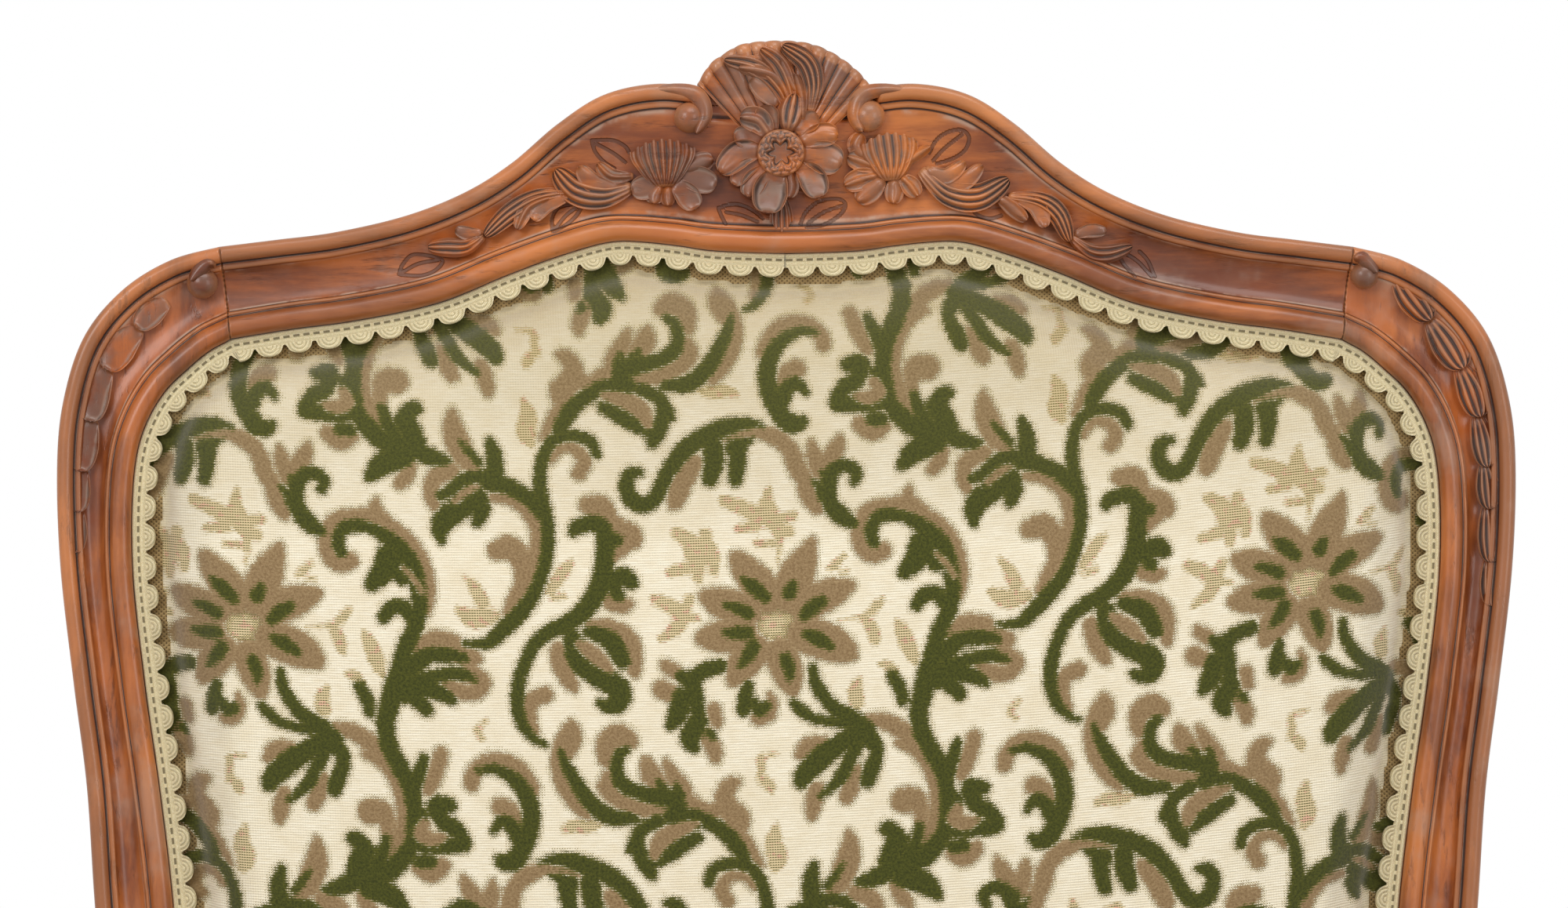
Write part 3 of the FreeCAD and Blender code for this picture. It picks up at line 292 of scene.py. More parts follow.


# %% [markdown]
# ## Waxed walnut
# Old walnut is red-brown with darker streaks along the grain. Wide hollows get pale wax bloom and a
# painted highlight, deep hollows and narrow grooves get dark wax and dust with painted shade, and
# proud edges are rubbed light and get a painted highlight. Hollows and grooves are found on the
# mesh and kept with it as marks; the streaks are stretched noise.

# %% Walnut
def walnut(name, grain):
    """Waxed walnut with its grain along one axis, given by how the noise is stretched."""
    f = Finish(name)
    streaks = f.noise(f.place(grain), 30.0, 6.0, 0.62)
    lines = f.noise(f.place(tuple(g * 2.2 for g in grain)), 60.0, 4.0, 0.7)
    patches = f.noise(f.place(), 9.0, 3.0, 0.55)
    wear = f.noise(f.place(), 70.0, 4.0, 0.6)
    hollow, groove, cut = f.mark("hollow"), f.mark("groove"), f.mark("cut")
    dark = f.mix(patches.ramp(0.3, 0.7), tone(92, 42, 18), tone(126, 62, 26))
    light = f.mix(patches.ramp(0.35, 0.7), tone(170, 90, 38), tone(196, 116, 56))
    wood = f.mix(streaks.ramp(0.36, 0.62), dark, light)
    bands = f.noise(f.place(grain), 11.0, 5.0, 0.65)
    wood = f.mix(bands.ramp(0.5, 0.72) * 0.55, wood, tone(92, 44, 20))
    wood = f.mix(lines.ramp(0.55, 0.7) * 0.6, wood, tone(78, 36, 16))
    wax = f.noise(f.place(), 24.0, 4.0, 0.6)
    wood = f.mix(wax.ramp(0.54, 0.7) * 0.35, wood, tone(160, 138, 122))
    # Pale in wide hollows: partly wax bloom, partly a painted highlight, the lamp's sheen in the
    # coves.
    wax_bloom_and_painted_sheen = hollow.ramp(0.02, 0.2) * wear.ramp(0.36, 0.6)
    wood = f.mix(wax_bloom_and_painted_sheen * 0.68, wood, tone(188, 160, 140))
    # Darker in deep hollows: partly dark wax, partly painted shade in the recesses.
    wood = f.mix(hollow.ramp(0.3, 0.9) * 0.6, wood, tone(78, 42, 26))
    bloom = f.mark("carved") * wear.ramp(0.34, 0.6)
    wood = f.mix(bloom * 0.62, wood, tone(108, 80, 66))
    # Near black in narrow grooves: partly dust, partly painted shade in the grooves.
    dust_and_painted_shade = (groove + wear * 0.3 - 0.15).ramp(0.08, 0.6)
    wood = f.mix(dust_and_painted_shade * 0.9, wood, tone(44, 20, 10))
    # Lighter on proud edges: partly rubbed wear, partly a painted highlight.
    worn_and_painted_highlight = (groove * -1.0 + wear * 0.3 - 0.15).ramp(0.22, 0.85)
    wood = f.mix(worn_and_painted_highlight * 0.32, wood, tone(212, 146, 98))
    line = cut.ramp(0.2, 0.7)
    wood = f.mix(line * 0.7, wood, tone(62, 30, 16))
    f.set(Base_Color=wood, Roughness=0.24 + wear * 0.18 + groove.ramp(0.0, 0.5) * 0.25,
          Specular_IOR_Level=0.38, Coat_Weight=0.14, Coat_Roughness=0.12)
    f.relief(wear * 0.5 + streaks * 0.5 - lines.ramp(0.55, 0.75) * 0.7 - line * 2.0, 0.00026)
    return f.material


walnut_across = walnut("walnut_grain_across", (0.25, 1.6, 1.6))
walnut_upright = walnut("walnut_grain_upright", (1.6, 1.6, 0.25))


def mark_hollows(piece, reach=3, strength=1.0):
    """Keep with each point how hollow (above 0) or proud (below 0) it lies, near and far."""
    mesh = piece.data
    points, normals = vectors(piece)
    count = len(points)
    edges = np.empty(len(mesh.edges) * 2, int)
    mesh.edges.foreach_get("vertices", edges)
    a, b = edges.reshape(-1, 2).T
    links = np.maximum(1, np.bincount(np.concatenate([a, b]), minlength=count))[:, None]

    def spread(values):
        total = np.zeros_like(values)
        for column in range(values.shape[1]):
            total[:, column] = (np.bincount(a, values[b, column], count)
                                + np.bincount(b, values[a, column], count))
        return 0.5 * values + 0.5 * total / links

    moved = points.copy()
    for turn in range(reach * 4):
        moved = spread(moved)
        if turn == 3:
            near = ((moved - points) * normals).sum(1) / 0.00022
    far = ((moved - points) * normals).sum(1) / 0.00040
    keep_marks(piece, groove=np.clip(near * strength, -1, 1), hollow=np.clip(far * strength, -1, 1))


# %% [markdown]
# ## The moulded frame of the back
# One moulding runs round the whole back: an outer bead, a quirk, a cove, a thin raised line and
# an inner bead, with a ledge behind it for the tacks. It is set out as stations round the
# outline, each with the way the section points and its width; the cove takes up the difference
# in width and opens into the carved field of the crest.

# %% Stations round the outline: across, down, direction of the section, width
crest_stations = [
    (0, 22, 90, 68.5), (31, 21.5, 91.5, 68), (54.9, 19.3, 97.5, 68.5), (77.5, 24, 105.5, 64),
    (97, 36.3, 114, 54), (116.9, 53.2, 120, 43.7), (137, 65.7, 117.5, 38.5),
    (162.1, 75.6, 110, 38.5), (192.2, 82.6, 102.5, 37.5), (217, 85.8, 99, 37.5),
    (241.5, 88.8, 96.7, 38.5),
]
post_stations = [
    (241.5, 88.8, 96.7, 38.5), (262.3, 94.5, 113, 41), (282.4, 107, 129, 42.5),
    (298.5, 126.5, 146, 40.5), (307.2, 153, 163.5, 35.5), (310, 182, 176, 31.7),
    (308.5, 225, 180, 29.4), (302.9, 274, 180, 29), (297.3, 318, 180, 29.6),
    (294.2, 364, 180, 32), (289.9, 420, 180, 32), (282.4, 476, 182, 32), (278.1, 512, 191, 32.5),
    (274.7, 540, 205, 35), (266.6, 569, 229, 41.5), (244.9, 590.5, 252, 46.5),
    (213, 598, 266, 49.5), (205, 599, 268, 50),
]
low_stations = [
    (205, 599, 268, 50), (147.6, 600, 269, 51), (73.8, 594, 270, 50), (0, 589, 270, 50),
]


def section(width):
    """The moulding's outline: distance from the outer edge and proud of the middle plane."""
    cove_start = 9.0
    cove_end = width - 11.2
    low = 4.9 if width < 45 else 4.9 + min(1.2, (width - 45) / 15)
    line = [(0.0, -11.0)]
    line += [(0.0, -5.0), (0.0, 2.0), (0.0, 7.6)]
    line += arc(line[-1], (2.9, 13.5), (5.8, 9.4), 12)
    line += [(6.3, 8.5), (6.9, 8.9), (8.1, 9.0), (8.9, 8.7)]
    line += [(cove_start + 0.2, 8.0)]
    line += arc(line[-1], ((cove_start + cove_end) / 2, low), (cove_end - 0.2, 7.9), 46)
    line += [(cove_end, 8.9), (cove_end + 0.6, 9.7), (cove_end + 1.2, 9.6), (cove_end + 1.9, 8.6)]
    line += arc((cove_end + 2.1, 8.4), (width - 4.6, 13.5), (width, 8.2), 16)
    line += [(width, 4.0), (width, 0.0), (width, -11.0)]
    line += arc(line[-1], (width - 0.9, -13.1), (width - 3.0, -14.0), 3)
    line += [(width * 0.5, -14.0), (3.0, -14.0)]
    line += arc(line[-1], (0.9, -13.1), (0.0, -11.0), 3)[:-1]
    return np.array(line)


def moulding(name, stations, step, material, carve=None):
    """A frame member: the section swept through its stations, closed at both ends."""
    rows = even_rows(stations, step)
    outlines = np.array([section(w) for w in rows[:, 3]])
    turn = np.radians(rows[:, 2])[:, None]
    x = rows[:, 0:1] + outlines[..., 0] * np.cos(turn)
    down = rows[:, 1:2] + outlines[..., 0] * np.sin(turn)
    proud = outlines[..., 1]
    if carve:
        proud = proud + carve(x, down, outlines[..., 0], rows[:, 3:4], proud)
    points = on_back(np.stack([x, down, proud], -1))
    piece = new_piece(name, points, tube_faces(*proud.shape), material)
    face_outwards(piece)
    mark_hollows(piece)
    print(name, len(piece.data.polygons), "faces")
    return piece


def mirrored(stations):
    """The same stations on the other side."""
    return [(-x, down, 180 - turn, width) for x, down, turn, width in stations]


def under_shell(x, down, reach, width, proud):
    """The bead stops at the shell: behind it the wood is cut back level."""
    share = np.clip((40.0 - np.abs(x)) / 3.0, 0, 1) * np.clip((13.0 - reach) / 2.0, 0, 1)
    return -share * np.clip(proud - 6.0, 0, None)


whole_crest = mirrored(crest_stations)[:0:-1] + crest_stations
crest = moulding("crest_moulding", whole_crest, 0.9, walnut_across, under_shell)
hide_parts("crest_rail")
low_left = [(x, down, turn + 360, width)
            for x, down, turn, width in mirrored(low_stations)[:-1]]
whole_low = low_left + low_stations[::-1]
low_rail = moulding("low_rail_moulding", whole_low, 2.5, walnut_across)
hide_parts("back_bottom_rail")

# %% [markdown]
# ## The shoulders
# The two side pieces turn the shoulder and run down as stiles. They are one moulding too, and
# the right-hand one is made first; the left one is its mirror image, with its own mesh.

# %% Shoulders and stiles
right_post = moulding("post_moulding_right", post_stations, 1.5, walnut_upright)
left_post = moulding("post_moulding_left", mirrored(post_stations)[::-1], 1.5, walnut_upright)

# %% [markdown]
# ## Incised leaves and joint lines
# Between the raised leaves the carver only scratched the outline of a few flat leaves. A line
# about a millimetre wide needs no mesh of its own: the wood's points keep how near they lie
# to a scratch, and the finish darkens and sinks it. The joints of the frame show the same way.

# %% Scratched lines, in thirds of a millimetre on the drawing
scratches = [
    [915, 263, 930, 258, 945, 259, 960, 266, 972, 276], [915, 263, 919, 273, 924, 283],
    [925, 268, 945, 272, 965, 280],
    [1020, 284, 1027, 268, 1044, 254, 1068, 251, 1078, 258, 1070, 272, 1048, 285, 1028, 288],
    [1030, 282, 1050, 268, 1076, 259], [753, 176, 757, 190, 768, 203, 782, 212],
    [753, 176, 780, 176, 796, 184, 801, 192], [758, 180, 780, 192, 796, 204],
    [703, 293, 702, 275, 712, 261, 738, 258, 734, 271, 720, 284, 705, 293],
    [706, 289, 720, 272, 736, 260],
    [506, 347, 511, 334, 526, 322, 560, 328, 554, 341, 535, 349, 508, 348],
    [510, 345, 530, 334, 556, 329],
    [1185, 192, 1195, 175, 1210, 165, 1227, 163, 1236, 172, 1232, 187, 1218, 198, 1195, 206],
    [1190, 202, 1205, 186, 1228, 168], [1238, 258, 1245, 270, 1262, 276, 1278, 272],
    [1428, 322, 1435, 335, 1448, 350], [1455, 318, 1466, 330, 1474, 350],
    [1432, 318, 1452, 330, 1470, 350],
]
line_wide, joint_wide = 1.2, 0.6


def off_back(points):
    """The way back from metres of the chair to across, down and proud, in millimetres."""
    x, y, z = np.asarray(points).T / mm
    y, z = y - back_foot_y, z - seat_top
    down = back_length - y * math.sin(lean) - z * math.cos(lean)
    return np.stack([x, down, z * math.sin(lean) - y * math.cos(lean)], 1)


def flat_tree(spots):
    """A search tree of places across and down the back."""
    tree = KDTree(len(spots))
    for index, spot in enumerate(spots):
        tree.insert((*spot, 0), index)
    tree.balance()
    return tree


def scratched_places():
    """Places on the scratched lines, then on the two joints, and the number of the former."""
    spots = []
    for line in scratches:
        line = np.stack(off_drawing(*np.array(line, float).reshape(-1, 2).T), 1)
        spots.append(smooth_rows(line, np.linspace(0, len(line) - 1, 30 * len(line))))
    count = sum(map(len, spots))
    x, down, turn, width = post_stations[0]
    turn, reach = math.radians(turn), np.linspace(0, width, 80)
    joint = np.stack([x + reach * math.cos(turn), down + reach * math.sin(turn)], 1)
    return np.concatenate(spots + [joint * [-1, 1], joint]), count


scratch_spots, scratch_count = scratched_places()
scratch_tree = flat_tree(scratch_spots)


def scratch(piece):
    """Keep with each point of the piece's front how deep it lies in a scratch or a joint."""
    near = []
    for x, down, proud in off_back(vectors(piece)[0]):
        _, index, far = scratch_tree.find((x, down, 0))
        wide = line_wide if index < scratch_count else joint_wide
        near.append(max(0.0, wide - far) if proud > 2 and down < 140 else 0.0)
    keep_marks(piece, cut=near)
    print(piece.name, "scratched at", sum(n > 0.5 for n in near), "points")


for piece in (crest, right_post, left_post):
    scratch(piece)

# %% [markdown]
# ## Carved leaves and petals
# A carver draws a leaf on the wood, cuts round it, then hollows it and cuts flutes or a rim. All
# the leaves here are made that way: a line from root to tip, a half width, how high the leaf
# stands, how many flutes it has, and how strong its rim is. A leaf is a net of points whose
# border drops into the wood, so its edge stays crisp. Extruded faces can't hold such a dished
# and fluted form, so the net is written in mesh code.

# %% One carved leaf
def carved_leaf(spine, half, base, high, ribs=0, rim=0.0, hollow=0.0, fan=False, cuts=(30, 26)):
    """Points and faces of a leaf; spine and half width are as on the drawing."""
    spots = np.array(spine, float).reshape(-1, 2)
    s = np.sin(np.linspace(0, math.pi / 2, cuts[0]))[:, None]
    places = smooth_rows(spots, s[:, 0] * (len(spots) - 1))
    x, down = off_drawing(places[:, 0], places[:, 1])
    ahead = np.gradient(np.stack([x, down], 1), axis=0)
    ahead /= np.linalg.norm(ahead, axis=1, keepdims=True)
    v = np.sin(np.linspace(-math.pi / 2, math.pi / 2, cuts[1]))[None, :]
    if fan:
        wide = half / drawn_per_mm * (0.25 + 0.75 * np.sin(math.pi / 2 * np.minimum(1, s * 1.25)))
    else:
        body = 0.34 + 0.66 * np.sin(math.pi / 2 * np.clip(s / 0.6, 0, 1))
        tip = 1 - np.clip((s - 0.5) / 0.5, 0, 1) ** 2.2
        wide = half / drawn_per_mm * body * np.sqrt(np.clip(tip, 0.0004, 1))
    px = x[:, None] - ahead[:, 1:2] * wide * v
    py = down[:, None] + ahead[:, 0:1] * wide * v
    if fan:
        push = 1.2 * (np.cos(v * math.pi * ribs) * 0.4 - v * v * 4) * s ** 3
        px, py = px + ahead[:, 0:1] * push, py + ahead[:, 1:2] * push
    rise = np.sin(math.pi / 2 * np.clip(s / 0.25, 0, 1)) * 0.4 + 0.6
    z = base + (high - base) * rise * (1 - 0.35 * v * v)
    z = z - hollow * (1 - v * v) * np.sin(math.pi * np.clip(s * 0.9 + 0.1, 0, 1))
    z = z + rim * np.exp(-((1 - np.abs(v)) / 0.16) ** 2) * np.clip(s * 2.5, 0, 1)
    if not fan:
        z = z + rim * np.exp(-((1 - s) / 0.07) ** 2)
    if ribs:
        deep = 0.55 + (0.02 if fan else 0.1) * half / 10
        z = z + deep * np.cos(v * math.pi * ribs) * np.clip(s * 3, 0, 1)
    net = np.stack([px, py, z], -1)
    floor_points = net.copy()
    floor_points[..., 2] = base - 3.5
    net = np.concatenate([floor_points[:, :1], net, floor_points[:, -1:]], 1)
    net = np.concatenate([net[:1], net, net[-1:]], 0)
    net[0, :, 2] = net[-1, :, 2] = base - 3.5
    rows, columns = net.shape[:2]
    faces = grid_faces(rows, columns)
    rim_loop = list(range(columns)) + [r * columns + columns - 1 for r in range(1, rows)]
    rim_loop += [(rows - 1) * columns + c for c in range(columns - 2, -1, -1)]
    rim_loop += [r * columns for r in range(rows - 2, 0, -1)]
    faces.append(rim_loop[::-1])
    return net.reshape(-1, 3), faces


def gather(parts):
    """Join nets into one list of points and faces."""
    points, faces, first = [], [], 0
    for p, f in parts:
        points.append(p)
        faces += [[i + first for i in face] for face in f]
        first += len(p)
    return np.concatenate(points), faces


def knob(x, y, radius, base, high, cuts=(14, 28), bumps=0.0):
    """A round boss; its place and radius are as on the drawing."""
    (x, down), radius = off_drawing(x, y), radius / drawn_per_mm
    turn = np.linspace(0, 2 * math.pi, cuts[1], endpoint=False)[None, :]
    lift = np.linspace(-0.35, math.pi / 2 - 0.02, cuts[0])[:, None]
    r = radius * np.cos(lift)
    z = base + (high - base) * np.sin(lift)
    if bumps:
        grain = np.sin(turn * 9 + lift * 14) * np.sin(turn * 4 - lift * 23)
        z = z + bumps * grain * (lift > 0.1)
    net = np.stack([x + r * np.cos(turn), down + r * np.sin(turn), z + 0 * turn], -1)
    count = cuts[1]
    faces = grid_faces(cuts[0], count, round_columns=True)
    faces += [list(range(count)), [len(net) * count - 1 - k for k in range(count)]]
    return net.reshape(-1, 3), faces


# %% [markdown]
# ## The crest: shell, flower, buds and sprays
# In the middle a flower with a seeded heart lies on a fluted shell with two curling plumes. On
# each side sit a bud with a fluted cup and a spray of fluted leaves that steps down the crest.
# The two sides are alike but not the same, as hand carving is, so both are drawn.

# %% Leaves of the crest
flower = [
    ([980, 172, 965, 152, 942, 147], 14, 15.5, 2, 0.5, 0.6),
    ([985, 168, 977, 148, 975, 132], 13, 15.0, 0, 0.7, 1.6),
    ([1003, 165, 1007, 142, 1012, 118], 14, 15.5, 3, 0.2, 0.0),
    ([1015, 168, 1028, 154, 1042, 146], 11, 14.5, 0, 0.7, 1.6),
    ([1018, 180, 1045, 170, 1067, 170], 13, 15.0, 1, 0.8, 1.0),
    ([1020, 192, 1048, 198, 1072, 207], 18, 15.0, 1, 0.9, 1.4),
    ([1016, 208, 1034, 225, 1043, 250], 15, 15.5, 0, 1.1, 1.8),
    ([1004, 214, 1006, 233, 1004, 250], 10, 13.5, 1, 0.4, 0.5),
    ([992, 214, 981, 240, 977, 270], 19, 16.5, 0, 1.3, 2.0),
    ([980, 212, 962, 228, 951, 249], 13, 14.5, 1, 0.9, 0.8),
    ([972, 202, 948, 214, 934, 234], 10, 14.0, 0, 0.8, 1.0),
    ([970, 190, 942, 194, 916, 218], 15, 15.5, 1, 1.2, 1.2),
    ([972, 180, 952, 172, 934, 174], 12, 14.5, 0, 0.6, 1.2),
]
plumes = [
    ([1008, 150, 992, 112, 962, 84, 922, 74], 15, 13.6, 3, 0.3, 0.4),
    ([1012, 140, 1003, 104, 990, 78, 968, 60], 14, 14.6, 3, 0.2, 0.0),
    ([1032, 140, 1036, 104, 1026, 76, 996, 56], 15, 14.4, 4, 0.2, 0.0),
    ([990, 132, 972, 116, 956, 98], 11, 15.4, 0, 1.1, 1.8),
    ([1008, 128, 990, 98, 968, 88, 940, 84], 9, 14.6, 1, 0.5, 0.6),
    ([1015, 118, 1004, 96, 994, 74], 9, 15.2, 1, 0.6, 0.8),
    ([1022, 150, 1020, 120, 1012, 92], 8, 15.0, 1, 0.5, 0.6),
]
sprays = [
    ([804, 236, 768, 247, 732, 240, 706, 214], 17, 11.6, 4, 0.4, 0.0),
    ([806, 222, 778, 222, 760, 206], 9, 11.0, 2, 0.3, 0.0),
    ([790, 240, 756, 232, 736, 210], 11, 12.4, 0, 0.9, 1.2),
    ([724, 243, 684, 250, 648, 270, 616, 299], 12, 11.2, 4, 0.3, 0.0),
    ([704, 248, 672, 262, 657, 290], 9, 11.8, 2, 0.4, 0.0),
    ([724, 248, 692, 260, 678, 279], 10, 12.2, 0, 0.9, 1.2),
    ([614, 298, 592, 312, 566, 313, 543, 313], 11, 10.8, 3, 0.3, 0.0),
    ([614, 294, 596, 296, 578, 290], 8, 10.8, 0, 0.8, 0.8),
    ([1174, 214, 1208, 244, 1248, 249, 1286, 226], 16, 11.6, 4, 0.4, 0.0),
    ([1182, 216, 1222, 232, 1252, 208], 10, 12.2, 0, 0.9, 1.2),
    ([1180, 212, 1206, 222, 1230, 204], 9, 12.4, 0, 0.9, 1.0),
    ([1286, 248, 1326, 254, 1350, 272, 1364, 306], 12, 11.2, 4, 0.3, 0.0),
    ([1272, 248, 1290, 262, 1309, 279], 9, 11.4, 1, 0.7, 0.6),
    ([1296, 250, 1322, 262, 1333, 288], 10, 12.0, 0, 0.9, 1.2),
    ([1366, 300, 1390, 318, 1414, 321, 1444, 312], 11, 10.8, 3, 0.3, 0.0),
    ([1370, 298, 1390, 292, 1411, 293], 8, 10.8, 0, 0.8, 0.8),
]
buds = [
    ([836, 230, 822, 236, 803, 240], 14, 11.0, 0, 0.9, 1.2),
    ([842, 232, 834, 246, 832, 257], 11, 11.0, 1, 0.7, 0.6),
    ([850, 234, 850, 246, 850, 260], 9, 11.4, 1, 0.5, 0.4),
    ([858, 230, 874, 246, 886, 264], 14, 11.8, 0, 1.1, 1.4),
    ([864, 224, 888, 226, 912, 234], 15, 11.2, 0, 1.0, 1.4),
    ([868, 216, 888, 206, 908, 200], 12, 10.6, 1, 0.6, 0.6),
    ([1122, 212, 1100, 204, 1080, 197], 12, 11.0, 2, 0.5, 0.4),
    ([1120, 220, 1098, 226, 1076, 234], 13, 11.4, 2, 0.6, 0.4),
    ([1126, 226, 1110, 240, 1092, 254], 13, 11.8, 1, 0.9, 0.8),
    ([1138, 226, 1140, 240, 1138, 257], 11, 11.4, 1, 0.7, 0.6),
    ([1148, 222, 1160, 234, 1170, 248], 11, 11.0, 2, 0.5, 0.2),
    ([1144, 214, 1164, 198, 1186, 184], 7, 10.6, 1, 0.3, 0.0),
    ([1104, 200, 1092, 184, 1098, 168], 11, 10.8, 1, 0.6, 0.4),
]
parts = [carved_leaf(s, w * 1.22, 9.0, h, r, m * 1.5, d * 2.1) for s, w, h, r, m, d in flower]
parts += [carved_leaf(s, w, 9.5, h, r, m, d, cuts=(40, 34)) for s, w, h, r, m, d in plumes]
parts += [carved_leaf(s, w * 1.15, 6.0, h, r, m, d * 1.3, cuts=(34, 30))
          for s, w, h, r, m, d in sprays + buds]
parts += [carved_leaf([846, 236, 844, 205, 842, 176], 42, 6.5, 12.4, 8, fan=True, cuts=(34, 90)),
          carved_leaf([1136, 228, 1134, 198, 1130, 168], 38, 6.5, 12.4, 7, fan=True, cuts=(34, 84)),
          carved_leaf([994, 244, 995, 266, 996, 292], 15, 7.0, 9.6, 4, fan=True, cuts=(20, 44))]


def seed_head(x, y, radius, base, high):
    """A ring of small seeds about a hollow star."""
    (x, down), radius = off_drawing(x, y), radius / drawn_per_mm
    rows, columns = 30, 96
    turn = np.linspace(0, 2 * math.pi, columns, endpoint=False)
    r, turn = np.meshgrid(np.linspace(0.02, 1.0, rows), turn, indexing="ij")
    star = 0.42 * (1 + 0.32 * np.cos(6 * turn + 0.4))
    ring = np.clip((r - star) / (1.04 - star), 0, 1)
    lift = np.sin(math.pi * ring) ** 0.5
    around = np.abs(np.sin(8 * turn + np.floor(ring * 3) * math.pi / 2))
    seeds = 0.9 * around * np.abs(np.sin(3 * math.pi * ring))
    z = base + (high - base) * (0.3 * (r < star) * (1 - r) + 0.8 * lift) + seeds
    net = np.stack([x + radius * r * np.cos(turn), down + radius * r * np.sin(turn), z], -1)
    rim = net[-1:].copy()
    rim[..., 2] = base - 5
    net = np.concatenate([net, rim])
    return net.reshape(-1, 3), tube_faces(rows + 1, columns)


parts += [seed_head(994, 193, 30, 13.4, 16.6)]
volutes = [(877.5, 147, 20, 9.0, 15.6), (1107, 145, 21, 9.0, 15.6)]
drops = [(254, 359, 20, 8.0, 14.0), (1742, 349, 18, 8.0, 14.0)]
curls = [
    ([826, 112, 862, 112, 888, 120, 897, 144, 886, 168], 11),
    ([1160, 112, 1124, 112, 1098, 120, 1089, 144, 1098, 166], 11),
    ([272, 336, 262, 334, 252, 342, 240, 356], 10),
    ([1724, 328, 1734, 326, 1744, 332, 1756, 346], 10),
]
parts += [knob(*ball) for ball in volutes + drops]
parts += [carved_leaf(s, w, 8.0, 14.6, cuts=(30, 16)) for s, w in curls]

# %% [markdown]
# ## The shell
# The shell's edge is the highest line of the chair. It is a fan of flutes about a hinge below the
# flower, each flute a shallow groove with a sharp arris, ending in a gently scalloped edge.

# %% The fluted shell
shell_edge = [
    888, 104, 896, 90, 904, 79, 912, 72, 920, 67, 936, 57, 952, 52, 976, 49.5, 1000, 49, 1020, 50.5,
    1040, 55, 1060, 64, 1080, 77, 1096, 91, 1106, 103, 1112, 114,
]


def shell_net(rows=40, columns=300):
    """Points and faces of the shell, closed at the back."""
    edge = np.array(shell_edge, float).reshape(-1, 2)
    edge = smooth_rows(edge, np.linspace(0, len(edge) - 1, columns))
    x, down = off_drawing(edge[:, 0], edge[:, 1])
    hinge_x, hinge_down = -1.0, 56.0
    s = np.linspace(0.24, 1.0, rows)[:, None]
    px = hinge_x + (x - hinge_x) * s
    py = hinge_down + (down - hinge_down) * s
    turn = np.arctan2(x - hinge_x, hinge_down - down)
    flute = np.abs(np.sin(turn * 26.0 + 0.5)) ** 0.55
    z = 9.4 + 2.4 * np.sin(s * math.pi / 2) + (flute - 0.6) * 2.2 * s + 0 * px
    scallop = 0.006 * (flute - 0.8) * s ** 6
    px, py = px + (x - hinge_x) * scallop, py + (down - hinge_down) * scallop
    z = z - 1.6 * np.clip((s - 0.94) / 0.06, 0, 1) ** 2
    net = np.stack([px, py, z], -1)
    back = net[-1:].copy()
    low = net[:1].copy()
    back[..., 2], low[..., 2] = -12.5, -12.5
    net = np.concatenate([low, net, back], 0)
    count = net.shape[1]
    faces = grid_faces(len(net), count)
    total = len(net)
    last = [(total - 1) * count + c for c in range(count - 1, -1, -1)]
    faces.append(list(range(count)) + last)
    faces.append([r * count for r in range(total)])
    faces.append([r * count + count - 1 for r in range(total - 1, -1, -1)])
    return net.reshape(-1, 3), faces


def carving(name, nets, material, strength=0.7):
    """One piece of carving made of many nets."""
    points, faces = gather(nets)
    piece = new_piece(name, on_back(points), faces, material)
    face_outwards(piece, merge=False)
    mark_hollows(piece, 2, strength)
    keep_marks(piece, carved=np.ones(len(piece.data.vertices)))
    print(name, len(piece.data.polygons), "faces")
    return piece


crest_carving = carving("crest_carving", parts, walnut_across)
crest_shell = carving("crest_shell", [shell_net()], walnut_across, 2.2)

# %% [markdown]
# ## Scallops on the shoulders
# Below each drop the carver cut a row of scallops along the outer side of the cove. Each is half
# hidden by the bead, so only its inner rim shows as an arc: plain on the left, fluted on the right.

# %% Scallops
left_scallops = [
    ([210, 382, 190, 396, 170, 416], 17), ([174, 416, 150, 440, 132, 470], 21),
    ([133, 466, 117, 500, 111, 536], 20), ([113, 532, 104, 566, 99, 600], 18),
    ([101, 596, 96, 624, 95, 652], 15), ([96, 648, 93, 676, 92, 704], 14),
]
right_scallops = [
    ([1784, 350, 1802, 374, 1826, 406], 21), ([1826, 404, 1848, 434, 1868, 468], 23),
    ([1864, 462, 1880, 496, 1890, 530], 20), ([1886, 526, 1894, 560, 1899, 594], 16),
    ([1896, 588, 1900, 618, 1902, 648], 15), ([1900, 642, 1902, 680, 1903, 716], 15),
    ([1902, 710, 1904, 742, 1904, 772], 14),
]
nets = [carved_leaf(s, w, 4.0, 8.6, 0, 1.4, 1.2) for s, w in left_scallops]
nets += [carved_leaf(s, w, 4.0, 8.8, 4, 0.9, 0.7) for s, w in right_scallops]
shoulder_carving = carving("shoulder_carving", nets, walnut_upright)
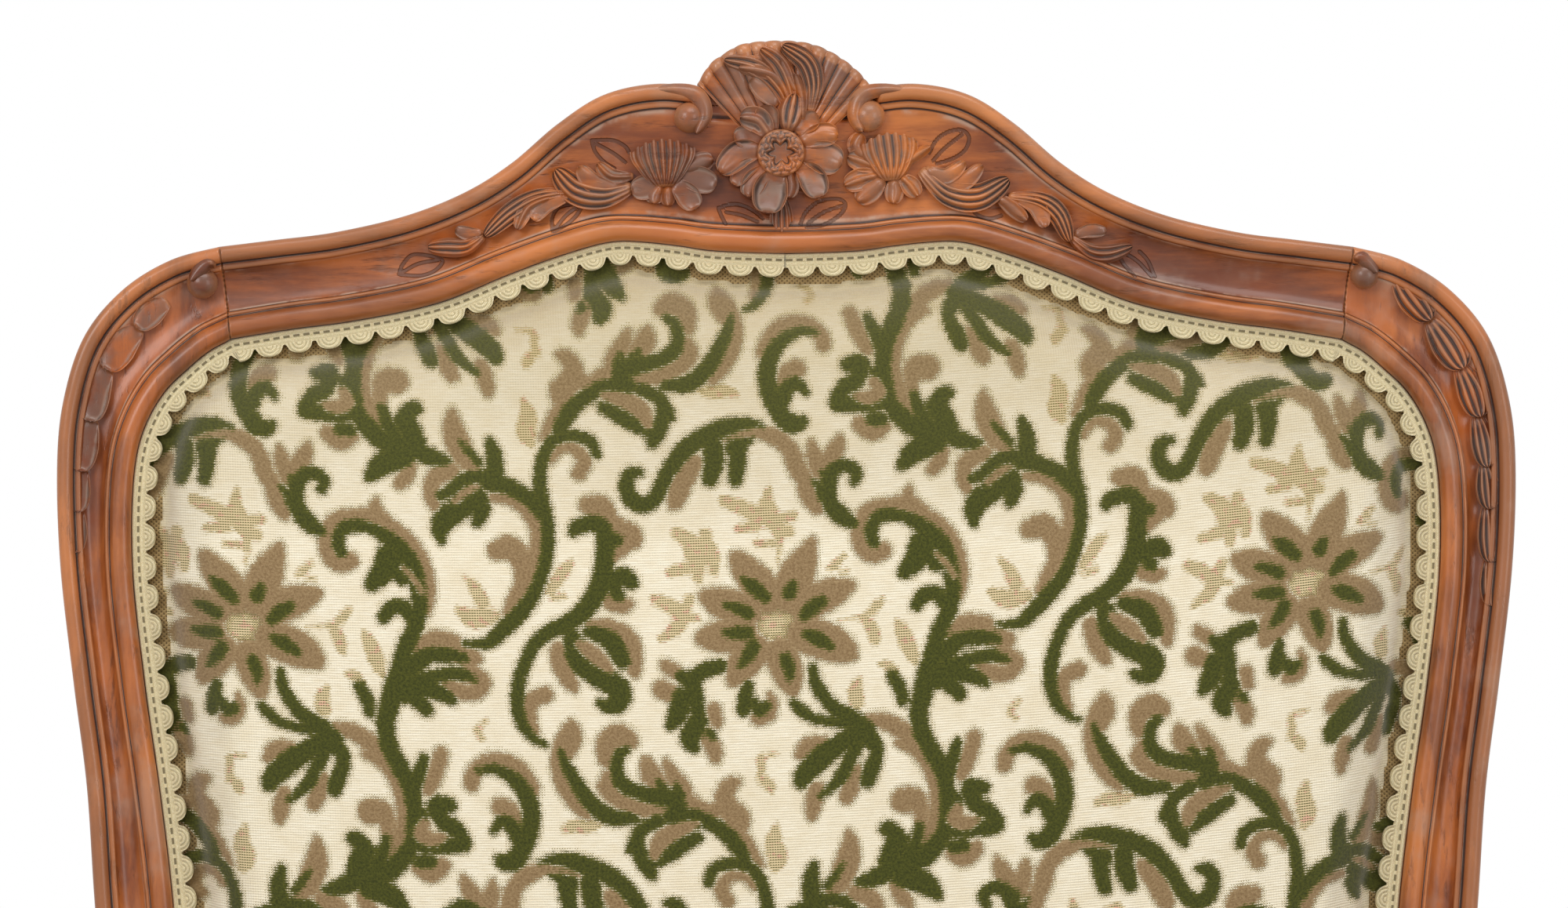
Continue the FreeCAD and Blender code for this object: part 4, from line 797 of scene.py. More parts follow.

# %% [markdown]
# ## Drawing the cut velvet
# The cloth is a cut velvet: pile stands up green or taupe, and the cream ground between is woven
# flat, with small leaves in fine dashes. The traditional scrolling pattern repeats sideways, and
# each lower row is the mirror image of the one above. One repeat is drawn here as brush
# strokes, each a line of places with the half width of the brush there, three times life size
# like the carver's drawing.

# %% Brush strokes of one repeat
green_strokes = """
970 758 7 955 745 9 942 735 3 | 1000 752 9 1005 742 6 | 1018 782 6 1030 770 9 1043 762 6 | 1022
805 6 1035 810 9 1052 820 5 | 995 835 8 1000 850 7 1000 862 3 | 955 820 8 948 832 8 937 845 3 |
948 803 8 935 803 8 918 803 4 | 948 778 8 935 772 7 920 768 4 | 728 680 6 735 672 9 757 668 10 768
680 11 768 705 11 765 735 12 755 760 12 740 780 11 720 795 10 700 805 9 680 822 8 668 845 7.5 660
870 8 658 900 8 665 925 7 680 942 5 695 949 3 | 768 690 9 783 688 8 | 770 745 10 790 735 12 800
740 10 | 780 750 8 785 758 8 | 750 805 8 775 815 12 790 840 10 | 728 815 12 735 840 14 760 860 14
785 875 14 785 893 12 770 898 7 762 893 5 | 757 580 6 750 565 7 730 558 7 708 562 7 695 575 7 687
600 7.5 687 630 8 693 655 8 696 680 8 695 705 8 688 735 8 675 765 9 655 790 10 635 810 9 620 823 7
590 825 3 | 1294 540 5 1300 560 10 1300 590 12 | 1290 590 12 1320 598 10 1345 612 10 1357 628 8 |
1285 585 8 1262 590 8 1245 605 7 1232 612 6 | 1280 612 12 1255 628 14 1235 645 13 1232 665 6 1235
672 2 | 1285 625 10 1280 640 8 1277 646 4 | 1258 543 3 1268 555 5 1280 568 5 | 1035 423 4 1015 422
6 995 432 8 980 450 10 973 475 11 976 500 11 985 520 11 998 537 12 1012 540 9 1018 535 6 | 1022
500 4 1010 488 8 998 495 9 992 512 9 | 812 602 5 800 605 8 795 620 9 802 637 10 818 643 10 832 633
9 842 612 9 855 590 10 872 570 11 895 555 11 920 545 11 945 542 10 965 543 5 | 905 570 12 905 590
12 900 610 9 | 935 565 12 935 590 10 932 610 8 | 950 555 8 930 570 10 | 1082 612 6 1085 600 7 1070
592 8 1055 600 9 1050 620 9 1052 640 10 1065 655 11 1080 665 7 | 1030 612 3 1040 622 6 1045 630 9
| 1042 600 3 1045 615 5 | 1150 385 8 1140 405 8 1128 430 8 1120 460 10 1120 490 9 1128 515 10 1145
535 12 1165 548 12 1190 550 11 1215 562 11 1235 567 7 1243 566 3 | 1102 405 6 1110 425 8 1118 445
8 | 1158 505 6 1165 525 8 1175 540 9 | 1075 465 9 1090 465 12 1085 485 10 1070 495 10 1060 515 8
1085 515 10 1110 515 10 1125 508 8 | 1110 475 8 1120 480 8 | 1105 535 8 1118 535 8 | 1180 520 8
1195 505 10 1203 503 6 | 1190 525 14 1200 545 13 | 1185 565 14 1160 575 14 1145 590 8 1140 597 3 |
1107 690 7 1103 675 8 1110 660 8 1125 655 8 1145 658 7 1165 668 9 1185 685 11 1198 705 11 1205 735
10 1205 760 10 1198 785 10 1188 805 10 1182 830 11 1175 855 13 1168 880 12 1163 905 11 1168 930 10
1180 955 11 1192 975 11 1198 1000 9 1196 1040 8 1190 1065 7 1180 1080 6 | 1165 688 12 1160 710 14
1148 725 10 1143 730 6 | 1175 700 14 1185 715 12 | 1160 770 7 1170 757 9 1185 755 9 1195 765 9 |
1195 830 12 1215 815 10 1240 812 9 1262 815 6 | 1200 850 12 1225 840 8 1255 835 8 1275 842 4 |
1185 860 16 1210 855 12 1235 862 9 1248 870 5 | 1200 868 10 1213 880 9 1215 885 6 | 1130 858 7
1140 875 8 1143 890 6 | 1030 845 5 1033 865 7 1045 885 8 1060 900 9 1080 912 11 1100 925 9 | 1005
890 5 1015 900 7 1030 910 6 1055 915 6 1075 915 8 | 1090 930 12 1105 940 10 1110 955 8 1103 975 10
1098 990 9 | 1085 930 12 1060 945 12 1040 960 14 1020 980 12 1015 990 9 | 1085 945 8 1075 965 8
1065 985 8 1050 1000 5 1040 1008 4 | 912 845 9 895 850 9 880 862 10 882 885 10 885 905 9 | 865 858
8 875 870 8 | 865 885 12 860 905 12 850 920 6 | 885 915 12 875 935 12 880 948 7 | 900 930 6 905
935 4 | 948 868 6 945 885 9 942 900 8 | 955 890 6 962 900 8 972 895 6 | 712 955 3 720 975 7 735
1000 9 752 1022 10 775 1037 10 800 1038 7 808 1040 4 | 795 952 5 785 960 7 783 980 8 790 995 9 810
1005 9 835 1010 10 855 1015 12 860 1030 12 | 835 992 4 843 1000 5 | 858 995 4 862 1010 7 | 850
1035 9 880 1035 10 905 1045 9 925 1060 10 940 1080 9 945 1092 6 | 835 1040 8 815 1052 8 805 1070 8
800 1078 5 | 808 1065 8 815 1090 9 825 1105 8 828 1112 4 | 820 1095 9 845 1085 9 868 1070 9 885
1060 7
"""
taupe_strokes = """
1000 755 22 1012 725 20 1026 695 8 1030 684 2 | 972 755 22 955 735 20 938 714 12 931 704 4 | 1020
768 20 1048 755 18 1070 746 10 1080 742 3 | 1020 805 22 1050 815 22 1070 825 14 1080 832 5 | 990
830 20 998 852 18 1003 870 10 1006 880 3 | 955 825 20 940 845 18 930 862 8 | 940 805 20 910 808 18
890 810 8 | 945 775 20 915 765 18 895 757 8 | 745 645 9 762 650 16 768 665 14 | 775 672 14 800 680
12 805 690 8 | 790 690 14 775 710 8 | 775 765 10 790 770 9 800 768 4 | 750 797 7 775 800 10 795
815 14 803 835 11 805 855 6 | 710 830 10 715 850 11 725 870 8 730 878 3 | 693 885 9 675 895 9 672
915 8 680 935 5 | 735 605 8 742 590 8 730 575 6 712 575 5 700 590 4 | 625 640 4 650 640 8 672 655
9 684 680 9 682 705 9 672 735 10 655 765 8 645 785 5 | 632 706 11 650 703 14 664 722 11 664 755 8
| 1245 580 10 1225 590 10 1220 610 8 1225 625 6 | 1247 502 2 1247 520 10 1252 540 14 1262 560 13
1275 575 8 | 1045 440 8 1040 425 9 1020 412 9 995 415 9 978 430 9 968 450 8 | 1010 470 11 1000 475
10 990 490 6 | 965 550 7 985 557 10 1000 570 9 1010 585 8 | 880 590 10 865 615 12 858 635 10 853
645 4 | 1000 570 8 1010 595 10 1020 610 10 1025 630 10 1035 645 8 | 1028 563 3 1032 580 9 1040 600
10 | 1065 555 2 1060 570 9 1050 590 12 | 1080 400 8 1090 425 9 1100 445 7 | 1175 397 5 1155 407 8
1140 430 8 1133 460 8 1135 490 9 1148 515 9 1158 530 4 | 1175 470 15 1160 470 12 1155 490 8 1158
510 6 | 1090 540 9 1105 548 12 1120 542 8 | 1195 575 6 1188 590 9 1180 600 6 | 1118 700 10 1105
705 9 1092 695 9 1088 675 9 1095 655 9 1110 645 8 1130 643 8 1150 640 9 1170 655 9 1190 670 9 1205
690 9 1215 715 8 1217 740 7 1213 760 5 | 1152 620 2 1150 632 7 1150 645 8 | 1205 805 10 1225 795
12 1250 795 8 | 1250 810 12 1275 815 9 | 1270 835 12 1285 845 10 1280 855 8 | 1240 848 7 1260 858
9 1278 858 8 | 1100 912 6 1120 915 9 1140 925 10 1160 940 11 1175 960 11 1185 985 10 1188 1010 10
1188 1040 9 1180 1062 5 | 1045 940 6 1025 945 10 1015 955 7 | 1035 1000 9 1030 1020 9 1028 1035 4
| 1085 975 6 1078 995 10 1072 1010 8 | 845 845 7 860 855 8 | 840 875 11 855 882 9 | 905 900 8 908
915 7 | 895 930 9 905 950 9 907 962 5 | 960 910 8 972 905 9 978 890 6 976 880 3 | 725 920 4 725
935 13 718 950 14 710 970 9 715 995 9 730 1020 8 745 1035 5 | 800 940 9 785 935 14 770 945 12 770
965 9 | 775 985 8 770 1000 10 785 1015 9 810 1025 9 835 1028 7 850 1028 5 | 820 965 5 825 980 12
835 995 11 | 845 965 3 855 985 9 868 1000 8 872 1020 7 | 880 1018 8 900 1030 9 915 1020 8 | 925
1045 7 945 1065 7 958 1085 5 965 1095 3 | 935 990 4 925 995 9 918 1010 11 925 1025 13 935 1035 14
940 1045 8
"""
heart_strokes = """
735 820 6 755 835 10 775 853 5 | 1280 598 4 1265 605 6 1250 618 5 | 920 560 3 940 553 5 965 550 7
| 1085 505 5 1100 508 9 1115 500 9 1108 485 6 | 1185 705 4 1200 720 5 1208 735 4 | 885 1043 4 860
1052 10 840 1065 11 830 1085 7
"""
woven_strokes = """
985 787 27 986 787 27 | 975 618 3 972 640 10 975 655 14 985 670 10 988 690 5 985 715 2 | 918 637 8
940 645 10 960 655 12 | 935 672 6 960 668 8 | 1005 655 7 985 660 8 | 1000 675 8 985 670 8 | 960
690 6 985 690 5 | 858 678 8 875 690 12 885 710 14 900 700 12 | 895 680 9 890 700 9 | 850 728 7 870
722 9 | 885 735 7 885 720 9 | 905 725 7 908 705 6 | 832 762 8 850 770 10 865 785 10 855 800 9 838
812 5 | 875 760 7 868 775 8 | 885 785 5 865 785 7 | 1070 705 4 1060 715 6 1052 722 5 | 1075 725 3
1065 727 4 | 1118 760 4 1110 770 7 1100 780 5 1080 785 3 1060 787 1.5 | 1095 785 6 1105 800 9 1108
815 6 | 1135 788 3 1142 800 9 1150 820 11 1158 840 6 | 1112 843 3 1125 845 7 1135 855 4 | 1090 860
3 1083 875 10 1085 890 10 | 985 955 3 965 960 5 965 975 6 960 990 3 | 965 985 5 975 995 8 978 1003
4 | 985 1045 4 980 1065 11 985 1085 13 980 1100 6 | 1290 893 4 1278 905 5 1285 915 5 | 1262 712 2
1275 725 8 1285 745 10 | 1255 755 6 1275 765 13 1300 760 8 | 725 718 5 715 730 9 705 745 8 698 755
6 | 715 760 5 700 765 4 | 715 1055 4 730 1050 9 750 1050 8 765 1045 3
"""

# %% [markdown]
# ## The weaver's card
# The strokes are spread over one full repeat as distances: how far each place of the card lies
# outside a stroke. Any point of any cushion can then look up its place on the card, and the
# shader turns the distances into crisp pile with combed edges, however close one looks.

# %% Spreading the strokes over a repeat
card_step = 0.5
card_wide, card_high = 448, 724
card_tilt = math.radians(2.4)
card_left, card_top = 600, 400
mirror_sum, glide = 363.2, 181.0
empty = 6.0


def card_place(x, y):
    """Millimetres on the straight card for a place on the drawing."""
    u = (np.asarray(x, float) - card_left) / drawn_per_mm
    v = (np.asarray(y, float) - card_top) / drawn_per_mm
    return (u * math.cos(card_tilt) - v * math.sin(card_tilt),
            u * math.sin(card_tilt) + v * math.cos(card_tilt))


def card_of(text):
    """The distance card of a set of strokes, in millimetres, negative inside."""
    card = np.full((card_high, card_wide), empty)
    for stroke in text.split("|"):
        spots = np.array(stroke.split(), float).reshape(-1, 3)
        u, v = card_place(spots[:, 0], spots[:, 1])
        rows = even_rows(np.stack([u, v, spots[:, 2] / drawn_per_mm], 1), 0.6)
        for u, v, radius in rows:
            reach = max(radius, 0.3) + 4.0
            for side, fall in ((u, v), (mirror_sum - u, v + glide)):
                columns, lines = (
                    np.arange(int((at - reach) / card_step), int((at + reach) / card_step) + 2)
                    for at in (side, fall))
                places = np.meshgrid(columns * card_step - side, lines * card_step - fall)
                far = np.hypot(*places) - radius
                spot = np.ix_(lines % card_high, columns % card_wide)
                card[spot] = np.minimum(card[spot], far)
    return card


green_card, taupe_card = card_of(green_strokes), card_of(taupe_strokes)
heart_card, woven_card = card_of(heart_strokes), card_of(woven_strokes)
green_card = np.maximum(green_card, -heart_card)
taupe_card = np.minimum(taupe_card, heart_card)
share = float((np.minimum(green_card, taupe_card) < 0).mean())
print("pile covers", round(share, 2), "of the card")


def look_up(card, u, v):
    """Smooth reading of a card that repeats both ways."""
    a, b = u / card_step, v / card_step
    i, j = np.floor(a).astype(int), np.floor(b).astype(int)
    s, t = a - i, b - j
    i, j, k, m = i % card_wide, j % card_high, (i + 1) % card_wide, (j + 1) % card_high
    return ((card[j, i] * (1 - s) + card[j, k] * s) * (1 - t)
            + (card[m, i] * (1 - s) + card[m, k] * s) * t)


def mark_cloth(piece, u, v):
    """Keep the cloth's pattern with a piece whose points lie at u, v on the card."""
    keep_marks(piece, card_u=u, card_v=v, green=look_up(green_card, u, v),
               taupe=look_up(taupe_card, u, v), woven=look_up(woven_card, u, v))


# %% [markdown]
# ## Velvet and ground as one material
# Pile edges follow the weave: every thread row ends a little earlier or later, like the teeth of
# a comb, and a dotted line of dark thread borders them. The pile is dull and deep, the ground
# flat with fine ribs, and the woven leaves are dashes of dark thread with a pink blush.

# %% Cut velvet
def cut_velvet():
    """Pile, ground, woven leaves and border, all read from the card's distances."""
    f = Finish("cut_velvet")
    u, v = f.mark("card_u"), f.mark("card_v")
    spot = f.node("ShaderNodeCombineXYZ", {}, {"X": u, "Y": v})
    fuzz = f.noise(spot, 0.9, 3.0, 0.7)
    broad = f.noise(spot, 0.06, 3.0, 0.55)
    slub = f.noise(f.stretched(spot, (0.15, 1.6, 1.0)), 1.0, 3.0, 0.6)
    turn = 2 * math.pi / 1.07
    rows, ribs = (v * turn).sine(), (u * turn).sine()
    ragged = f.noise(spot, 0.42, 3.0, 0.65)
    comb = rows * 0.65 + (fuzz - 0.5) * 1.2 + (ragged - 0.5) * 3.4
    green = f.mark("green") + comb - 0.4
    taupe = f.mark("taupe") + comb - 0.55
    woven = f.mark("woven") + comb
    is_green = green.ramp(0.22, -0.22)
    is_taupe = taupe.ramp(0.22, -0.22)
    pile = is_green.most(is_taupe)
    edge = green.least(taupe)
    dots = (rows * ribs).ramp(-0.15, 0.4)
    border = dots * edge.ramp(0.0, 0.25) * edge.ramp(1.9, 1.2)
    ground = f.mix(slub.ramp(0.3, 0.7), tone(238, 225, 196), tone(250, 241, 218))
    ground = f.mix(broad.ramp(0.35, 0.75) * 0.5, ground, tone(232, 216, 182))
    dashes = rows.ramp(-0.1, 0.5) * (ribs * 0.5 + slub).ramp(-0.05, 0.3)
    blush = f.noise(spot, 0.32, 2.0, 0.5).ramp(0.55, 0.66)
    leaf = f.mix(blush, tone(230, 208, 164), tone(236, 188, 160))
    outline = woven.ramp(-0.8, -0.2) * 0.5
    leaf = f.mix(dashes.most(outline) * 0.95, leaf, tone(92, 92, 44))
    cloth = f.mix(woven.ramp(0.1, -0.1), ground, leaf)
    cloth = f.mix(f.mark("shade") * 0.6, cloth, tone(152, 130, 76))
    cloth = f.mix(border * 0.9, cloth, tone(132, 116, 46))
    green_pile = f.mix(fuzz.ramp(0.3, 0.7), tone(50, 54, 12), tone(82, 84, 26))
    green_pile = f.mix(green.ramp(-1.6, -0.2) * 0.5, green_pile, tone(106, 102, 36))
    taupe_pile = f.mix(fuzz.ramp(0.3, 0.7), tone(128, 102, 68), tone(162, 136, 98))
    taupe_pile = f.mix(taupe.ramp(-1.6, -0.2) * 0.4, taupe_pile, tone(182, 158, 118))
    cloth = f.mix(is_taupe, cloth, taupe_pile)
    cloth = f.mix(is_green, cloth, green_pile)
    cloth = f.mix(f.mark("shade") * pile * 0.25, cloth, tone(96, 90, 50))
    f.set(Base_Color=cloth, Roughness=0.86, Specular_IOR_Level=0.2,
          Sheen_Weight=0.25, Sheen_Roughness=0.5)
    weave = (rows * 0.1 + ribs * 0.08) * (1 - pile)
    f.relief(pile * 0.35 + (fuzz - 0.5) * 0.5 * pile + weave + slub * 0.15, 0.0007)
    return f.material


velvet = cut_velvet()

# %% [markdown]
# ## The stuffed back
# A stuffed back swells from its tacked edge under the pull of the cover. A copy of the solid pad
# is remeshed and blown up a little as cloth, which gives the soft crown and the taut edge; a
# fine net of points is then laid over that form from the front, to carry the pattern.


def solid_copy(name, node):
    """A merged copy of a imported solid's mesh."""
    source = bpy.data.objects[node]
    mesh = source.data.copy()
    mesh.materials.clear()
    piece = bpy.data.objects.new(name, mesh)
    bpy.context.scene.collection.objects.link(piece)
    only(piece)
    bpy.ops.object.mode_set(mode="EDIT")
    bpy.ops.mesh.select_all(action="SELECT")
    bpy.ops.mesh.remove_doubles(threshold=0.00002)
    bpy.ops.object.mode_set(mode="OBJECT")
    return piece


swell_frames = 20


def swell(piece, voxel, pressure, cap):
    """Remesh a pad and let it swell as cloth, no point moving further than the cap, in metres."""
    only(piece)
    piece.data.remesh_voxel_size = voxel
    bpy.ops.object.voxel_remesh()
    smooth = piece.modifiers.new("even", "SMOOTH")
    smooth.factor, smooth.iterations = 0.5, 6
    bpy.ops.object.modifier_apply(modifier="even")
    before = vectors(piece)[0]
    cloth = piece.modifiers.new("cloth", "CLOTH")
    cloth.settings.use_pressure = True
    cloth.settings.uniform_pressure_force = pressure
    cloth.settings.effector_weights.gravity = 0.0
    cloth.settings.quality = 5
    cloth.point_cache.frame_end = swell_frames
    for frame_number in range(1, swell_frames + 1):
        bpy.context.scene.frame_set(frame_number)
    shown = piece.evaluated_get(bpy.context.evaluated_depsgraph_get())
    move = vectors(shown)[0] - before
    piece.modifiers.remove(cloth)
    bpy.context.scene.frame_set(1)
    far = np.maximum(np.linalg.norm(move, axis=1, keepdims=True), 1e-9)
    move = move * np.minimum(1.0, cap / far)
    piece.data.vertices.foreach_set("co", (before + move).ravel())
    piece.data.update()
    print(piece.name, len(before), "points")


pad_form = solid_copy("back_form", "back_padding")
swell(pad_form, 0.005, 4.0, 0.007)

# %% The line where wood meets cloth
def sight_line(inward, step=1.5):
    """Places round the upholstered opening, moved towards the pad."""
    def run(stations):
        rows = even_rows(stations, step)
        reach = rows[:, 3] + inward
        turn = np.radians(rows[:, 2])
        return rows[:, :2] + reach[:, None] * np.stack([np.cos(turn), np.sin(turn)], 1)

    half = np.concatenate([run(crest_stations), run(post_stations)[1:], run(low_stations)[1:]])
    other = half[-2:0:-1] * [-1, 1]
    closed = np.concatenate([half, other, half[:1]])
    along = np.concatenate([[0], np.cumsum(np.hypot(*np.diff(closed, axis=0).T))])
    wanted = np.linspace(0, along[-1], int(along[-1] / step), endpoint=False)
    return np.stack([np.interp(wanted, along, closed[:, k]) for k in (0, 1)], 1)


def inside(line, x, down):
    """Which places lie inside a closed line."""
    odd = np.zeros(x.shape, bool)
    for (ax, ay), (bx, by) in zip(line, np.roll(line, -1, 0)):
        if ay == by:
            continue
        right = x < (bx - ax) * (down - ay) / (by - ay) + ax
        odd ^= ((ay > down) != (by > down)) & right
    return odd


def opening_net(step, edge):
    """Places of a net over the back's opening, and which of them lie inside its edge."""
    x, down = np.meshgrid(np.arange(-282, 282.1, step), np.arange(86, 552, step))
    return x, down, inside(edge, x, down)


def kept_faces(keep):
    """Faces between the kept places of a net."""
    number = -np.ones(keep.shape, int)
    number[keep] = np.arange(keep.sum())
    corners = [number[:-1, :-1], number[1:, :-1], number[1:, 1:], number[:-1, 1:]]
    corners = np.stack(corners, -1).reshape(-1, 4)
    return corners[(corners >= 0).all(1)].tolist()


# %% The cover of the back
def front_net(form, step, low, edge):
    """A net over a form of the back, read from the front, its border at the level low."""
    tree = BVHTree.FromObject(form, bpy.context.evaluated_depsgraph_get())
    x, down, keep = opening_net(step, edge)
    above, gap = 90.0, 2.0
    start = on_back(np.stack([x, down, np.full_like(x, above)], -1))
    towards = Vector((0, math.cos(lean), -math.sin(lean)))
    proud = np.full(x.shape, low)
    for index in zip(*np.nonzero(keep)):
        hit = tree.ray_cast(Vector(start[index]), towards, 0.2)
        if hit[0] is not None:
            proud[index] = max(low, above - hit[3] / mm + gap)
    for _ in range(3):
        inner = proud[1:-1, 1:-1]
        around = proud[:-2, 1:-1] + proud[2:, 1:-1] + proud[1:-1, :-2] + proud[1:-1, 2:]
        inner += 0.2 * (around - 4 * inner)
    return x, down, proud, keep


def back_cover():
    """The velvet of the back: held low under the braid, shaded near its top and edges."""
    x, down, proud, keep = front_net(pad_form, 1.6, 5.4, sight_line(0.8))
    card_x, card_y = on_drawing(x, down)
    sag = 25 * ((x * drawn_per_mm + 16.5) / 672) ** 2
    u, v = card_place(card_x, card_y + sag)
    tree = flat_tree(sight_line(0.0, 2.0))
    far = np.full(x.shape, 60.0)
    for index in zip(*np.nonzero(keep)):
        far[index] = tree.find((x[index], down[index], 0))[2]
    proud = np.minimum(proud, 6.2 + np.clip(far - 8.6, 0, None) * 2.2)
    top_shade = 0.95 * np.clip(1 - (down - 100) / 115, 0, 1) ** 0.8
    shade = top_shade + 0.5 * np.exp(-np.clip(far - 9, 0, None) / 8)
    pile = np.minimum(look_up(green_card, u, v), look_up(taupe_card, u, v))
    proud = proud + 0.4 * np.clip(0.5 - pile, 0, 1)
    points = on_back(np.stack([x, down, proud], -1)[keep])
    piece = new_piece("velvet_back", points, kept_faces(keep), velvet)
    mark_cloth(piece, u[keep], v[keep])
    keep_marks(piece, shade=np.clip(shade[keep], 0, 1))
    only(piece)
    bpy.ops.object.mode_set(mode="EDIT")
    bpy.ops.mesh.select_all(action="DESELECT")
    bpy.ops.mesh.select_non_manifold(extend=False, use_boundary=True)
    bpy.ops.mesh.extrude_edges_move(TRANSFORM_OT_translate={"value": (0, 0.0006, 0)})
    bpy.ops.mesh.edge_face_add()
    bpy.ops.mesh.select_all(action="SELECT")
    bpy.ops.mesh.normals_make_consistent(inside=False)
    bpy.ops.object.mode_set(mode="OBJECT")
    bpy.data.objects.remove(pad_form)
    print("back cover", len(points), "points")
    return piece


velvet_back = back_cover()
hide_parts("back_cover", "back_padding")

# %% [markdown]
# ## Gimp braid
# Gimp is a flat woven braid that hides the tacks. Its outer half is a plain band of three
# cords with a row of dark dashes, its inner half a row of round scallops. It follows a curve,
# so a net of points is laid along the curve. Its cords, dashes and scallop rings are drawn from
# three numbers kept with each point: how far along, how far across, how far from a scallop.

# %% Braid material
scallop_pitch, dash_pitch, cord_pitch, ring_pitch = 13.0, 4.5, 1.75, 1.6
band_wide = 5.4


def gimp_finish():
    """Creamy yarn with cords, dark dashes and the rings of the scallops."""
    f = Finish("gimp_braid")
    along, across, ring = f.mark("braid_along"), f.mark("braid_across"), f.mark("braid_ring")
    spot = f.node("ShaderNodeCombineXYZ", {}, {"X": along, "Y": across})
    fuzz = f.noise(spot, 1.3, 3.0, 0.7)
    cord = ((across - 0.4) * (2 * math.pi / cord_pitch)).sine()
    twist = ((along + across * 1.5) * (2 * math.pi / 0.95)).sine()
    rings = ((ring - 0.35) * (2 * math.pi / ring_pitch)).sine()
    lobe = across.ramp(5.2, 5.8)
    dash = (1 - abs(across - 2.7).ramp(0.35, 0.7)) * ((along % dash_pitch) < 2.8)
    yarn = f.mix(fuzz.ramp(0.3, 0.7), tone(236, 216, 164), tone(253, 241, 202))
    yarn = f.mix((cord * (1 - lobe)).ramp(-0.4, -1.0) * 0.3, yarn, tone(190, 170, 116))
    yarn = f.mix((rings * lobe).ramp(-0.1, -1.0) * 0.55, yarn, tone(168, 150, 96))
    yarn = f.mix(dash * 0.8, yarn, tone(96, 82, 44))
    f.set(Base_Color=yarn, Roughness=0.7, Specular_IOR_Level=0.3,
          Sheen_Weight=0.2, Sheen_Roughness=0.5)
    cords = cord * 0.5 * (1 - lobe) + rings * 0.7 * lobe
    f.relief(cords + twist * 0.3 + fuzz * 0.3, 0.0004)
    return f.material


gimp = gimp_finish()


def even_path(path, step):
    """A closed path's rows read off at even steps of its place, with its whole length."""
    rows = np.vstack([path, path[:1]])
    gaps = np.linalg.norm(np.diff(rows[:, :3], axis=0), axis=1)
    run = np.concatenate([[0], np.cumsum(gaps)])
    wanted = np.linspace(0, run[-1], round(run[-1] / step), endpoint=False)
    return np.stack([np.interp(wanted, run, column) for column in rows.T], 1), run[-1]


def braid(name, path, step=0.0008, climb=0.0):
    """A braid along a closed path of rows: place, direction across, direction outwards."""
    rows, length = even_path(path, step)
    spot, side, out = (rows[:, None, k:k + 3] for k in (0, 3, 6))
    length = length / mm
    repeat = length / round(length / scallop_pitch)
    along = np.arange(len(rows)) * length / len(rows)
    phase = (along / repeat) % 1.0 - 0.5
    reach = 6.0 + 4.2 * np.sqrt(np.clip(1 - (phase / 0.43) ** 2, 0, 1))
    share = np.array([0, 0, 0.06, 0.16, 0.26, 0.38, 0.5, 0.62, 0.74, 0.86, 0.95, 1.0, 1.0])
    across = share * reach[:, None]
    ring = np.hypot((phase * repeat)[:, None], across - band_wide)
    cords = np.sin(2 * math.pi * (across - 0.4) / cord_pitch) * (across < band_wide)
    rings = np.sin(2 * math.pi * (ring - 0.35) / ring_pitch) * (across >= band_wide)
    high = 1.5 + 0.22 * cords + 0.3 * rings
    high = high + np.clip(across - 5.0, 0, None) * climb
    high[:, [0, -1]] = np.array([0.0, -0.4])
    points = spot + side * (across * mm)[..., None] + out * (high * mm)[..., None]
    piece = new_piece(name, points, grid_faces(len(rows), len(share), True, True), gimp)
    dashes = np.broadcast_to(along[:, None] * dash_pitch / (repeat / 3), across.shape)
    keep_marks(piece, braid_along=dashes, braid_across=across, braid_ring=ring)
    face_outwards(piece, merge=False)
    print(name, round(length), "mm long")
    return piece


def back_path(inward, proud, front=1.0):
    """Rows for a braid round the back's opening, facing the front (1) or the rear (-1)."""
    line = sight_line(inward, 1.0)
    ahead = np.roll(line, -2, 0) - np.roll(line, 2, 0)
    ahead /= np.linalg.norm(ahead, axis=1, keepdims=True)
    level = np.full((len(line), 1), proud)
    here = on_back(np.hstack([line, level]))
    inner = on_back(np.hstack([line + np.stack([-ahead[:, 1], ahead[:, 0]], 1), level]))
    outer = on_back(np.hstack([line, level + front]))
    return np.hstack([here, (inner - here) / mm, (outer - here) / mm])


back_gimp = braid("gimp_back", back_path(0.3, 6.9), climb=0.4)
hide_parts("back_gimp")
rear_gimp = braid("gimp_outside_back", back_path(0.3, -10.2, -1.0))
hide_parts("outside_back_gimp")

# %% [markdown]
# ## The outside back
# The rear of the back is covered with a plain cotton sateen, stretched flat and tacked in the
# rebate. It is a single sheet with a thickness, cut to the opening.

# %% Plain cloth for the outside
def woven_finish(name, dark, light, pitch, depth, open_weave=0.0):
    """Plain weave on the object's own coordinates; open weave shows dark between its threads."""
    f = Finish(name)
    across, behind, up = (f.node("ShaderNodeSeparateXYZ", {}, {"Vector": f.place()}, out=axis)
                          for axis in "XYZ")
    fuzz = f.noise(f.place(), 420.0, 3.0, 0.7)
    slub = f.noise(f.place((0.12, 1.0, 1.0)), 260.0, 3.0, 0.6)
    beat = 2 * math.pi / pitch
    threads = (across * beat).sine() * ((up + behind) * beat).sine()
    colour = f.mix(slub.ramp(0.3, 0.7) * 0.6 + fuzz * 0.4, tone(*dark), tone(*light))
    colour = f.mix(threads.ramp(-0.2, -0.9) * open_weave, colour, tone(60, 46, 28))
    f.set(Base_Color=colour, Roughness=0.85, Specular_IOR_Level=0.2)
    f.relief(threads * 0.6 + fuzz * 0.5, depth)
    return f.material


